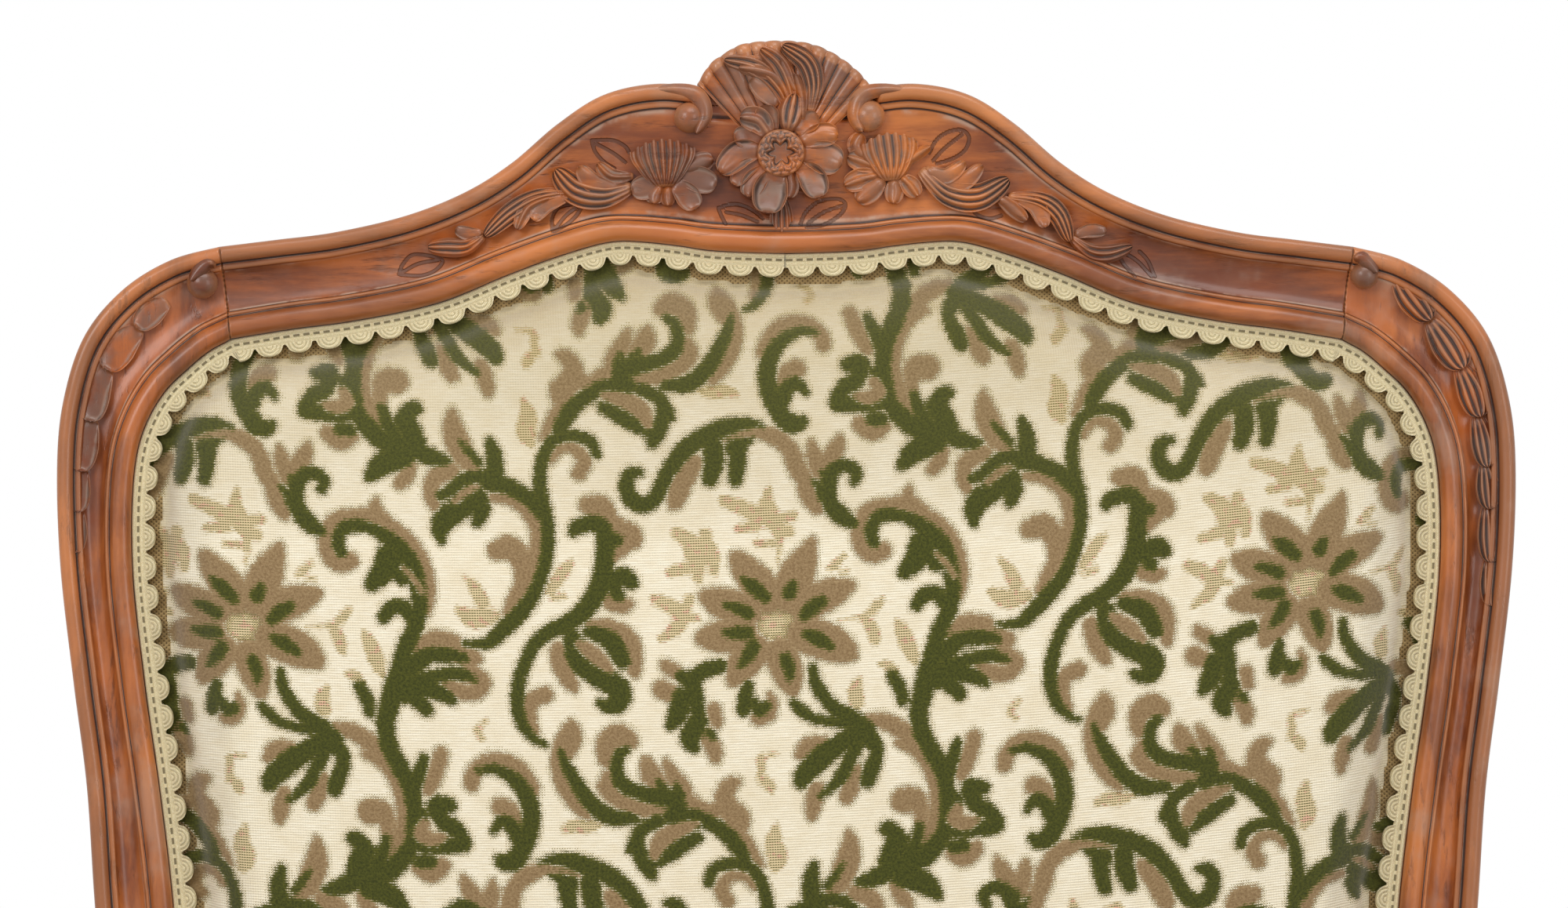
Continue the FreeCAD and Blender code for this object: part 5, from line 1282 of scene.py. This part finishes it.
plain_cloth = woven_finish("outside_back_cloth", (214, 198, 160), (230, 216, 182),
                           0.0011, 0.0002)
hessian = woven_finish("hessian", (150, 124, 82), (186, 160, 114), 0.0022, 0.0004, 0.8)
jute = woven_finish("jute_webbing", (128, 98, 58), (174, 144, 98), 0.0030, 0.0006, 0.3)


def outside_cover():
    """The plain sheet behind the back, cut to the opening."""
    x, down, keep = opening_net(5.0, sight_line(0.8))
    places = np.stack([x, down, np.full_like(x, -8.5)], -1)[keep]
    piece = new_piece("outside_back_cloth", on_back(places), kept_faces(keep), plain_cloth)
    face_outwards(piece, merge=False)
    thick = piece.modifiers.new("thickness", "SOLIDIFY")
    thick.thickness, thick.offset = 0.0008, 0.0
    bpy.ops.object.modifier_apply(modifier="thickness")
    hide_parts("outside_back_cover")


outside_cover()

# %% [markdown]
# ## Legs, arms and supports
# These are sawn to a template on two sides and then rounded with spokeshave and rasp, so their
# section changes all the way. A bar that is extruded and scaled step by step would show every
# step; rows of rounded squares on a smooth curve give the flowing line that the hand feels.

# %% A shaped bar
def shaped_bar(name, rows, material, sign, level=False, dome=0.0):
    """A bar through rows of x, y, z, half width, half depth and edge radius, in millimetres.

    Sign -1 mirrors it to the left. A level bar keeps its sections level. The dome closes its
    last end roundly.
    """
    rows = np.array(rows, float) * ([sign] + [1] * 5)
    rows = smooth_rows(rows, np.linspace(0, len(rows) - 1, (len(rows) - 1) * 10 + 1))
    ahead = np.gradient(rows[:, :3], axis=0)
    ahead /= np.linalg.norm(ahead, axis=1, keepdims=True)
    if dome:
        turn = np.linspace(0, math.pi / 2, 10)[1:, None]
        cap = np.tile(rows[-1], (len(turn), 1))
        cap[:, :3] += ahead[-1] * dome * np.sin(turn)
        cap[:, 3:] *= np.maximum(np.cos(turn), 0.01) ** 0.6
        rows = np.vstack([rows, cap])
        ahead = np.vstack([ahead, np.tile(ahead[-1], (len(turn), 1))])
    middle = rows[:, :3]
    if level:
        side = np.tile([1.0, 0, 0], (len(rows), 1))
        up = np.tile([0, 1.0, 0], (len(rows), 1))
    else:
        side = np.cross(ahead, [0, 0, 1.0])
        side /= np.linalg.norm(side, axis=1, keepdims=True)
        up = np.cross(side, ahead)
    turns = np.linspace(0, math.pi / 2, 6)
    corners = [(sx, sy, turns + quarter) for sx, sy, quarter in
               ((1, 1, 0), (-1, 1, math.pi / 2), (-1, -1, math.pi), (1, -1, 1.5 * math.pi))]
    half, deep, edge = (rows[:, k:k + 1] for k in (3, 4, 5))
    u = np.hstack([sx * (half - edge) + edge * np.cos(t) for sx, sy, t in corners])
    v = np.hstack([sy * (deep - edge) + edge * np.sin(t) for sx, sy, t in corners])
    points = middle[:, None] + side[:, None] * u[..., None] + up[:, None] * v[..., None]
    piece = new_piece(name, points * mm, tube_faces(*u.shape), material)
    face_outwards(piece)
    mark_hollows(piece, 2, 0.25)
    return piece


# %% Rear legs, one piece with the stiles
def up_post(rise):
    """Place across the seat's depth and height of the stile, so far up from the seat."""
    return back_foot_y + rise * math.sin(lean), seat_top + rise * math.cos(lean)


stile_y, stile_z = up_post(147.0)
post_rows = [
    (254.8, stile_y + 2.5, stile_z, 14, 9.5, 5), (253.8, *up_post(91.1), 16, 13, 5),
    (253, back_foot_y, 350, 17, 17, 5), (253, back_foot_y, 320, 17, 17, 5),
    (253, back_foot_y, 288, 17, 17, 5), (254.4, back_foot_y + 8.3, 195.8, 15.5, 15.5, 5),
    (257.5, back_foot_y + 25, 97.9, 14, 14, 5), (261.1, back_foot_y + 46.8, 23, 13, 13, 5),
    (262, back_foot_y + 52, 0.0, 14, 14, 5),
]
for sign, post, side in ((1, right_post, "right"), (-1, left_post, "left")):
    leg = shaped_bar("rear_leg_" + side, post_rows, walnut_upright, sign, True)
    only(post)
    leg.select_set(True)
    bpy.ops.object.join()
    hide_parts("back_post_" + side)
    print("post", side, len(post.data.polygons), "faces")

# %% Front legs, a cabriole from block to scrolled foot
seat_deep = 470.0
leg_x, leg_y, ankle = 283.0, back_foot_y - seat_deep, 11.5
side_front, side_rear = leg_y + 27.0, back_foot_y - 17.0
leg_shape = [
    (328, 27, 0, 5), (314, 27, 0, 5), (300, 27, 0, 5), (289, 26.8, 0.2, 6), (276, 26.2, 3.2, 7),
    (262, 25.5, 5.6, 8), (236, 22, 7, 8), (190, ankle + 7, 2.8, 8), (130, ankle + 2.5, -5.6, 6.5),
    (69, ankle, -10.5, 5.5), (39, ankle + 1, -7, 5.5), (20, 16, -0.7, 7), (6, 16.5, 2.8, 8),
    (0, 14, 2.1, 8),
]
slant = math.sqrt(0.5)
leg_rows = [(leg_x + out * slant, leg_y - out * slant, z, half, half, edge)
            for z, half, out, edge in leg_shape]
for sign, side in ((1, "right"), (-1, "left")):
    leg = shaped_bar("cabriole_leg_" + side, leg_rows, walnut_upright, sign, True)
    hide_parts("front_leg_" + side)

# %% Arms and their supports
rail_thick = 27.0


def side_place(share):
    """Inner face of the side rail, a share of its way back: across, and in depth."""
    return 281 - 38 * share, side_front + (side_rear - side_front) * share


def side_bow(share):
    """How far the side rail bows outwards, and arches up, there."""
    return 9 * math.sin(math.pi * share)


arm_root = on_back([0.918 * 310 - 15.5, back_length - 242.0, 2.0]) / mm
support_y = leg_y + 130.0
arm_long = arm_root[1] - (support_y - 22.0)
arm_out = 324.0 - arm_root[0]
arm_shape = [
    (0, 0, 0, 12, 12, 5), (0.1, 0.1, 2, 13, 12, 6), (0.36, 0.27, 4, 14, 12, 7),
    (0.7, 0.48, 2, 15, 12, 7), (0.94, 0.7, -7.8, 15, 12, 7.5), (1, 0.88, -19.5, 15, 13, 8),
    (0.98, 1, -26, 16.5, 15, 9), (0.96, 1 + 6.0 / arm_long, -28, 15.5, 13.5, 9),
]
arm_rows = [(arm_root[0] + arm_out * a, arm_root[1] - arm_long * b, arm_root[2] + c, w, t, e)
            for a, b, c, w, t, e in arm_shape]
share = (support_y - side_front) / (side_rear - side_front)
support_foot = side_place(share)[0] + rail_thick + side_bow(share) - 13
top_x, top_y, top_z = arm_rows[5][:3]
rise, swing = top_z - 328.0, top_x - support_foot
support_shape = [(0, 0, 0, 13), (0.04, -4, 0.16, 13), (0.3, -16, 0.36, 11.2),
                 (0.66, -18, 0.56, 10.5), (0.93, -4, 0.78, 11), (1, 0, 0.97, 12)]
support_rows = [(support_foot + swing * a, support_y + b if c < 0.9 else top_y,
                 328 + rise * c, h, h, 5) for a, b, c, h in support_shape]
for sign, side in ((1, "right"), (-1, "left")):
    arm = shaped_bar("shaped_arm_" + side, arm_rows, walnut_across, sign, dome=7.0)
    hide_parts("arm_" + side)
    support = shaped_bar("shaped_support_" + side, support_rows, walnut_upright, sign, True)
    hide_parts("arm_support_" + side)
    print("arm", side, len(arm.data.polygons), "faces")

# %% [markdown]
# ## Seat rails
# The seat rails carry the same moulding as the back: a bead below, a cove, and a thin line under
# the braid. They bow outwards and arch up a little between the legs, so their section is swept
# like that of the back.

# %% Moulded seat rails
rail_low, band_low = 288.0, 328.0


def rail_outline(depth, low):
    """A seat rail's section: distance from its inner face, and height."""
    back = depth - 4.5
    line = [(0.0, low), (depth - 4, low)]
    line += arc(line[-1], (depth, low + 4.5), (depth - 4, low + 9), 12)
    line += [(back, low + 10.5)]
    line += arc(line[-1], (back - 3, (low + 9 + band_low) / 2), (back, band_low - 4.5), 16)
    line += arc(line[-1], (depth - 2, band_low - 2.2), (depth - 4.5, band_low), 8)
    return np.array(line + [(depth - 8, band_low), (depth - 8, seat_top), (0.0, seat_top)])


def seat_rail(name, node, stations, place, material):
    """A rail through stations of how far along, depth and lower edge."""
    outlines = np.array([rail_outline(depth, low) for _, depth, low in stations])
    points = np.array([[place(s[0], p, z) for p, z in line] for s, line in zip(stations, outlines)])
    piece = new_piece(name, points * mm, tube_faces(*points.shape[:2]), material)
    face_outwards(piece)
    mark_hollows(piece, strength=0.3)
    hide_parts(node)
    print(name, len(piece.data.polygons), "faces")
    return piece


def front_bow(x):
    """How far the front rail bows forwards at a place across."""
    return 11.0 * (1 + np.cos(math.pi * np.minimum(1, np.abs(x) / 256.0)))


front_inner = leg_y - 27 + 2 + rail_thick
front_stations = [(x, rail_thick + front_bow(x), rail_low + 9 * math.sin(math.pi * abs(x) / 256.0))
                  for x in np.linspace(-256, 256, 121)]
front_rail = seat_rail("moulded_front_rail", "seat_front_rail", front_stations,
                       lambda x, p, z: (x, front_inner - p, z), walnut_across)
side_stations = [(s, rail_thick + side_bow(s), rail_low + side_bow(s))
                 for s in np.linspace(0, 1, 97)]
walnut_deep = walnut("walnut_grain_deep", (1.6, 0.25, 1.6))
for sign, side in ((1, "right"), (-1, "left")):
    seat_rail("moulded_side_rail_" + side, "seat_side_rail_" + side, side_stations,
              lambda s, p, z: (sign * (side_place(s)[0] + p), side_place(s)[1], z), walnut_deep)

# %% [markdown]
# ## Small flowers on knees and front rail
# The flower of the crest comes back, smaller, on each knee and in the middle of the front rail.
# It is modelled once and laid on the wood: every point looks for the wood behind it.

# %% Laying a small flower on the wood
parts = [carved_leaf(s, w, 9.0, h, r, m, d, cuts=(16, 14)) for s, w, h, r, m, d in flower]
flower_net, flower_faces = gather(parts + [knob(994, 193, 30, 13.5, 17.0, (8, 24), 0.4)])


def small_flower(name, wood, middle, towards, right, size, material):
    """The flower in small, lying on a piece of wood; towards points out of the wood."""
    tree = BVHTree.FromObject(wood, bpy.context.evaluated_depsgraph_get())
    middle = Vector(middle) * mm
    towards, right = Vector(towards).normalized(), Vector(right).normalized()
    down = towards.cross(right)
    points = []
    for a, b, c in flower_net:
        start = middle + right * ((a + 2.5) * size * mm) + down * ((b - 48.0) * size * mm)
        hit = tree.ray_cast(start + towards * 0.06, -towards, 0.12)
        ground = hit[0] if hit[0] is not None else start
        points.append(ground + towards * ((c - 8.6) * 0.5 * mm))
    piece = new_piece(name, points, flower_faces, material)
    face_outwards(piece, merge=False)
    mark_hollows(piece, 1, 1.2)


small_flower("flower_front_rail", front_rail,
             (0, leg_y - 40, 309), (0, -1, 0), (1, 0, 0), 0.5, walnut_across)
for sign, side in ((1, "right"), (-1, "left")):
    small_flower("flower_knee_" + side, bpy.data.objects["cabriole_leg_" + side],
                 (sign * leg_x, leg_y, 268), (sign, -1, 0), (1, sign, 0), 0.42, walnut_upright)

# %% [markdown]
# ## The stuffed seat
# The seat is built up in layers to a firm stitched edge and a soft crown. Its form is set out in
# levels round the rails, then it is remeshed and swollen as cloth, and one subdivision makes the
# mesh fine enough to carry the pattern of the velvet, which runs on over the edge.

# %% Plan and form of the seat
def seat_plan(grow=0.0):
    """Places round the seat outside the tack band, moved outwards, evenly spaced."""
    x = np.linspace(0, 256, 24)
    face = leg_y - 17.0
    right = [(a, face - front_bow(a)) for a in x]
    right += [(284, face), (295.3, face + 4.7), (300, face + 16)]
    for s in np.linspace(0, 1, 16):
        across, deep = side_place(s)
        right.append((across + rail_thick + side_bow(s) - 8, deep))
    rear = back_foot_y + 14.0
    right += [(256, rear - 6), (216, rear), (0, rear)]
    line = np.array(right + [(-a, b) for a, b in right[-2:0:-1]])
    line = even_path(line, 3.0)[0]
    for _ in range(3):
        line = 0.5 * line + 0.25 * (np.roll(line, 1, 0) + np.roll(line, -1, 0))
    line = even_path(line, 3.0)[0]
    ahead = np.roll(line, -2, 0) - np.roll(line, 2, 0)
    ahead /= np.linalg.norm(ahead, axis=1, keepdims=True)
    out = np.stack([-ahead[:, 1], ahead[:, 0]], 1)
    if (out * line).sum() < 0:
        out = -out
    return line + out * grow, out


def seat_form():
    """The seat in levels: height, growth outwards, and share of the plan."""
    levels = [(329, 1.5, 1.0), (346, 1.5, 1.0), (365.6, 6.5, 1.0), (386.4, 6.0, 1.0),
              (399, -2.5, 0.997), (408, -7, 0.97), (419.9, -7, 0.9), (434.6, -7, 0.7),
              (440, -7, 0.42), (441, -7, 0.12)]
    rows = smooth_rows(levels, np.linspace(0, len(levels) - 1, 50))
    points = []
    for z, grow, part in rows:
        line = seat_plan(grow)[0]
        middle = np.array([0, (leg_y + back_foot_y) / 2])
        points.append(np.hstack([middle + (line - middle) * part, np.full((len(line), 1), z)]))
    count = min(len(p) for p in points)
    points = np.array([p[np.linspace(0, len(p) - 1, count).astype(int)] for p in points])
    piece = new_piece("velvet_seat", points * mm, tube_faces(len(rows), count), velvet)
    face_outwards(piece)
    return piece


def finer(piece):
    """One subdivision, smooth."""
    step = piece.modifiers.new("finer", "SUBSURF")
    step.levels = step.render_levels = 1
    only(piece)
    bpy.ops.object.modifier_apply(modifier="finer")
    bpy.ops.object.shade_smooth()


velvet_seat = seat_form()
swell(velvet_seat, 0.006, 4.0, 0.005)
finer(velvet_seat)
places, normals = vectors(velvet_seat)
places = places / mm
drop = np.clip(400 - places[:, 2], 0, None)[:, None]
slope = np.linalg.norm(normals[:, :2], axis=1, keepdims=True)
spread = places[:, :2] + normals[:, :2] / np.maximum(slope, 1e-6) * drop
seat_on_card, pad_on_card = (drawn_middle, 700), (620, 700)
u = seat_on_card[0] + spread[:, 0] * drawn_per_mm
mark_cloth(velvet_seat, *card_place(u, seat_on_card[1] - spread[:, 1] * drawn_per_mm))
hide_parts("seat_cover", "seat_padding")

plan, plan_out = seat_plan(1.6)
level = np.full((len(plan), 1), 328.6)
seat_path = np.hstack([np.hstack([plan, level]) * mm, np.tile([0, 0, 1.0], (len(plan), 1)),
                       np.hstack([plan_out, level * 0])])
seat_gimp = braid("gimp_seat", seat_path, climb=0.12)
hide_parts("seat_gimp")

# %% [markdown]
# ## Arm pads
# A small stuffed pad sits on each arm, narrower at its ends, covered in the same velvet and
# edged with the same braid. Both are made and blown up alike, the left one as a mirror image.

# %% Pads of the arms
def arm_frame(rows, index):
    """Middle, side, up and ahead of the arm at one of its rows."""
    spots = rows[:, :3]
    ahead = spots[min(len(rows) - 1, index + 1)] - spots[max(0, index - 1)]
    ahead = ahead / np.linalg.norm(ahead)
    side = np.cross(ahead, [0, 0, 1.0])
    side /= np.linalg.norm(side)
    return spots[index], side, np.cross(side, ahead), ahead


fine_arm = smooth_rows(np.array(arm_rows), np.linspace(0, 7, 71))
pad_first, pad_last = 15, 40


def pad_row(index, grow):
    """Points across the pad at one row of the arm, from its left foot over the crown."""
    part = (index - pad_first) / (pad_last - pad_first)
    full = max(0.0, 1 - (2 * part - 1) ** 4) ** 0.5
    middle, side, up, _ = arm_frame(fine_arm, index)
    half = 17 * (0.55 + 0.45 * full) + grow
    seat = fine_arm[index][4] + 0.2
    high = 24 * (0.35 + 0.65 * full) + grow
    turn = np.linspace(-math.pi / 2, math.pi / 2, 25)
    u = half * np.sign(np.sin(turn)) * np.abs(np.sin(turn)) ** 0.8
    v = seat + high * np.abs(np.cos(turn)) ** 0.55
    return middle + side * u[:, None] + up * v[:, None]


def arm_pad(side):
    """The padded cover of one arm."""
    points = np.array([pad_row(index, 1.0) for index in range(pad_first, pad_last + 1)])
    faces = tube_faces(*points.shape[:2])
    if side == "left":
        points = points * [-1, 1, 1]
    pad = new_piece("velvet_arm_pad_" + side, points * mm, faces, velvet)
    face_outwards(pad)
    swell(pad, 0.004, 4.0, 0.0015)
    finer(pad)
    places = vectors(pad)[0] / mm
    u = pad_on_card[0] + np.abs(places[:, 0]) * drawn_per_mm
    mark_cloth(pad, *card_place(u, pad_on_card[1] - places[:, 1] * drawn_per_mm))
    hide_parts("arm_pad_cover_" + side, "arm_padding_" + side)


def pad_path(side):
    """Rows for the braid round a pad's foot."""
    right, left = [], []
    for index in range(pad_first, pad_last + 1):
        line = pad_row(index, 1.6)
        _, across, up, _ = arm_frame(fine_arm, index)
        right.append(np.concatenate([line[-1] * mm, up, across]))
        left.append(np.concatenate([line[0] * mm, up, -across]))
    ahead = [arm_frame(fine_arm, k)[3] for k in (pad_first, pad_last)]
    for rows, way in ((right[-1:] + left[-1:], ahead[1]), (right[:1] + left[:1], -ahead[0])):
        for row in rows:
            row[6:9] = row[6:9] + way
            row[6:9] /= np.linalg.norm(row[6:9])
    path = np.array(right + left[::-1])
    if side == "left":
        path = path * ([-1, 1, 1] * 3)
    return path


for side in ("right", "left"):
    arm_pad(side)
    braid_piece = braid("gimp_arm_" + side, pad_path(side), step=0.0006)
    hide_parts("arm_gimp_" + side)

# %% [markdown]
# ## What stays as packed
# Pegs, glue blocks, the rear rail, webbing and hessian have the right shape already. They only
# get their finish.

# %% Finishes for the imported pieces
def finish_nodes(material, *nodes):
    """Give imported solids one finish."""
    for node in nodes:
        for slot in bpy.data.objects[node].material_slots:
            slot.material = material


blocks = [f"corner_block_{end}_{side}" for end in ("front", "rear") for side in ("right", "left")]
finish_nodes(walnut_across, "seat_rear_rail", "joint_pegs", *blocks)
finish_nodes(jute, "back_webbing", "seat_webbing")
finish_nodes(hessian, "back_hessian", "seat_hessian")
print("packed pieces finished")

# %% [markdown]
# ## Light, floor and camera
# The photograph is a plain catalogue picture on white. Large soft lamps stand left, right and
# above, at a level at which a colour renders about as it is written. The world adds a weak,
# even light. It looks fully white only to the camera and in reflections.

# %% Floor, lamps and world
def plain_floor():
    """A pale floor that fades out towards its edge."""
    bpy.ops.object.select_all(action="DESELECT")
    bpy.ops.mesh.primitive_plane_add(size=5.0, location=(0, 0, 0))
    floor = bpy.context.object
    floor.name = "floor"
    f = Finish("pale_floor")
    away = f.node("ShaderNodeVectorMath", {"operation": "LENGTH"}, {0: f.place()}, out="Value")
    f.set(Base_Color=(0.80, 0.79, 0.77, 1.0), Roughness=0.8, Alpha=away.ramp(2.45, 1.1))
    floor.data.materials.append(f.material)


def soft_lamp(name, place, towards, size, watts):
    """A large lamp that looks at a point."""
    lamp = bpy.data.lights.new(name, "AREA")
    lamp.shape = "RECTANGLE"
    lamp.size, lamp.size_y = size
    lamp.energy = watts
    holder = bpy.data.objects.new(name, lamp)
    bpy.context.scene.collection.objects.link(holder)
    holder.location = place
    holder.rotation_euler = (Vector(towards) - Vector(place)).to_track_quat("-Z", "Y").to_euler()


def white_world(level):
    """Soft light all round; white where the camera, a reflection or glass sees it."""
    world = bpy.data.worlds.new("studio")
    bpy.context.scene.world = world
    world.use_nodes = True
    tree = world.node_tree
    tree.nodes.clear()
    rays = tree.nodes.new("ShaderNodeLightPath")
    most = [tree.nodes.new("ShaderNodeMath") for _ in range(2)]
    for node in most:
        node.operation = "MAXIMUM"
    seen = tree.nodes.new("ShaderNodeMapRange")
    seen.inputs["To Min"].default_value = level
    seen.inputs["To Max"].default_value = 1.0
    back = tree.nodes.new("ShaderNodeBackground")
    out = tree.nodes.new("ShaderNodeOutputWorld")
    tree.links.new(rays.outputs["Is Camera Ray"], most[0].inputs[0])
    tree.links.new(rays.outputs["Is Glossy Ray"], most[0].inputs[1])
    tree.links.new(most[0].outputs[0], most[1].inputs[0])
    tree.links.new(rays.outputs["Is Transmission Ray"], most[1].inputs[1])
    tree.links.new(most[1].outputs[0], seen.inputs["Value"])
    back.inputs["Color"].default_value = (1.0, 1.0, 1.0, 1.0)
    tree.links.new(seen.outputs["Result"], back.inputs["Strength"])
    tree.links.new(back.outputs[0], out.inputs["Surface"])


plain_floor()
aim = tuple(on_back([0, 200, 10]))
soft_lamp("lamp_left", (-1.5, -1.6, 2.1), aim, (1.1, 1.1), 26)
soft_lamp("lamp_right", (1.7, -1.8, 1.5), aim, (1.0, 1.4), 14)
soft_lamp("lamp_top", (0.2, -0.5, 2.6), aim, (1.4, 0.8), 16)
white_world(0.42)

# %% [markdown]
# ## The camera
# The picture shows about 670 by 388 mm of the back, square on, with the crest just under its
# upper edge. The camera looks along the back's own normal from well away, a little to the left
# of the middle, because the pad hides the braid only at the lower right.

# %% Camera square to the back
def square_camera(across, down, wide, away, aside):
    """A camera along the back's normal that shows so many millimetres of its width."""
    lens = bpy.data.cameras.new("camera")
    camera = bpy.data.objects.new("camera", lens)
    bpy.context.scene.collection.objects.link(camera)
    camera.location = on_back([across + aside, down, away])
    camera.rotation_euler = (math.pi / 2 - lean, 0, 0)
    lens.sensor_width = 36.0
    lens.lens = 36.0 * away / wide
    lens.shift_x = -aside / wide
    lens.clip_end = 100.0
    bpy.context.scene.camera = camera
    print("lens", round(lens.lens), "mm")


square_camera(-0.5, 176.2, 671.5, 2400.0, -110.0)

# %% The look of the render
scene = bpy.context.scene
scene.view_settings.view_transform = "Standard"
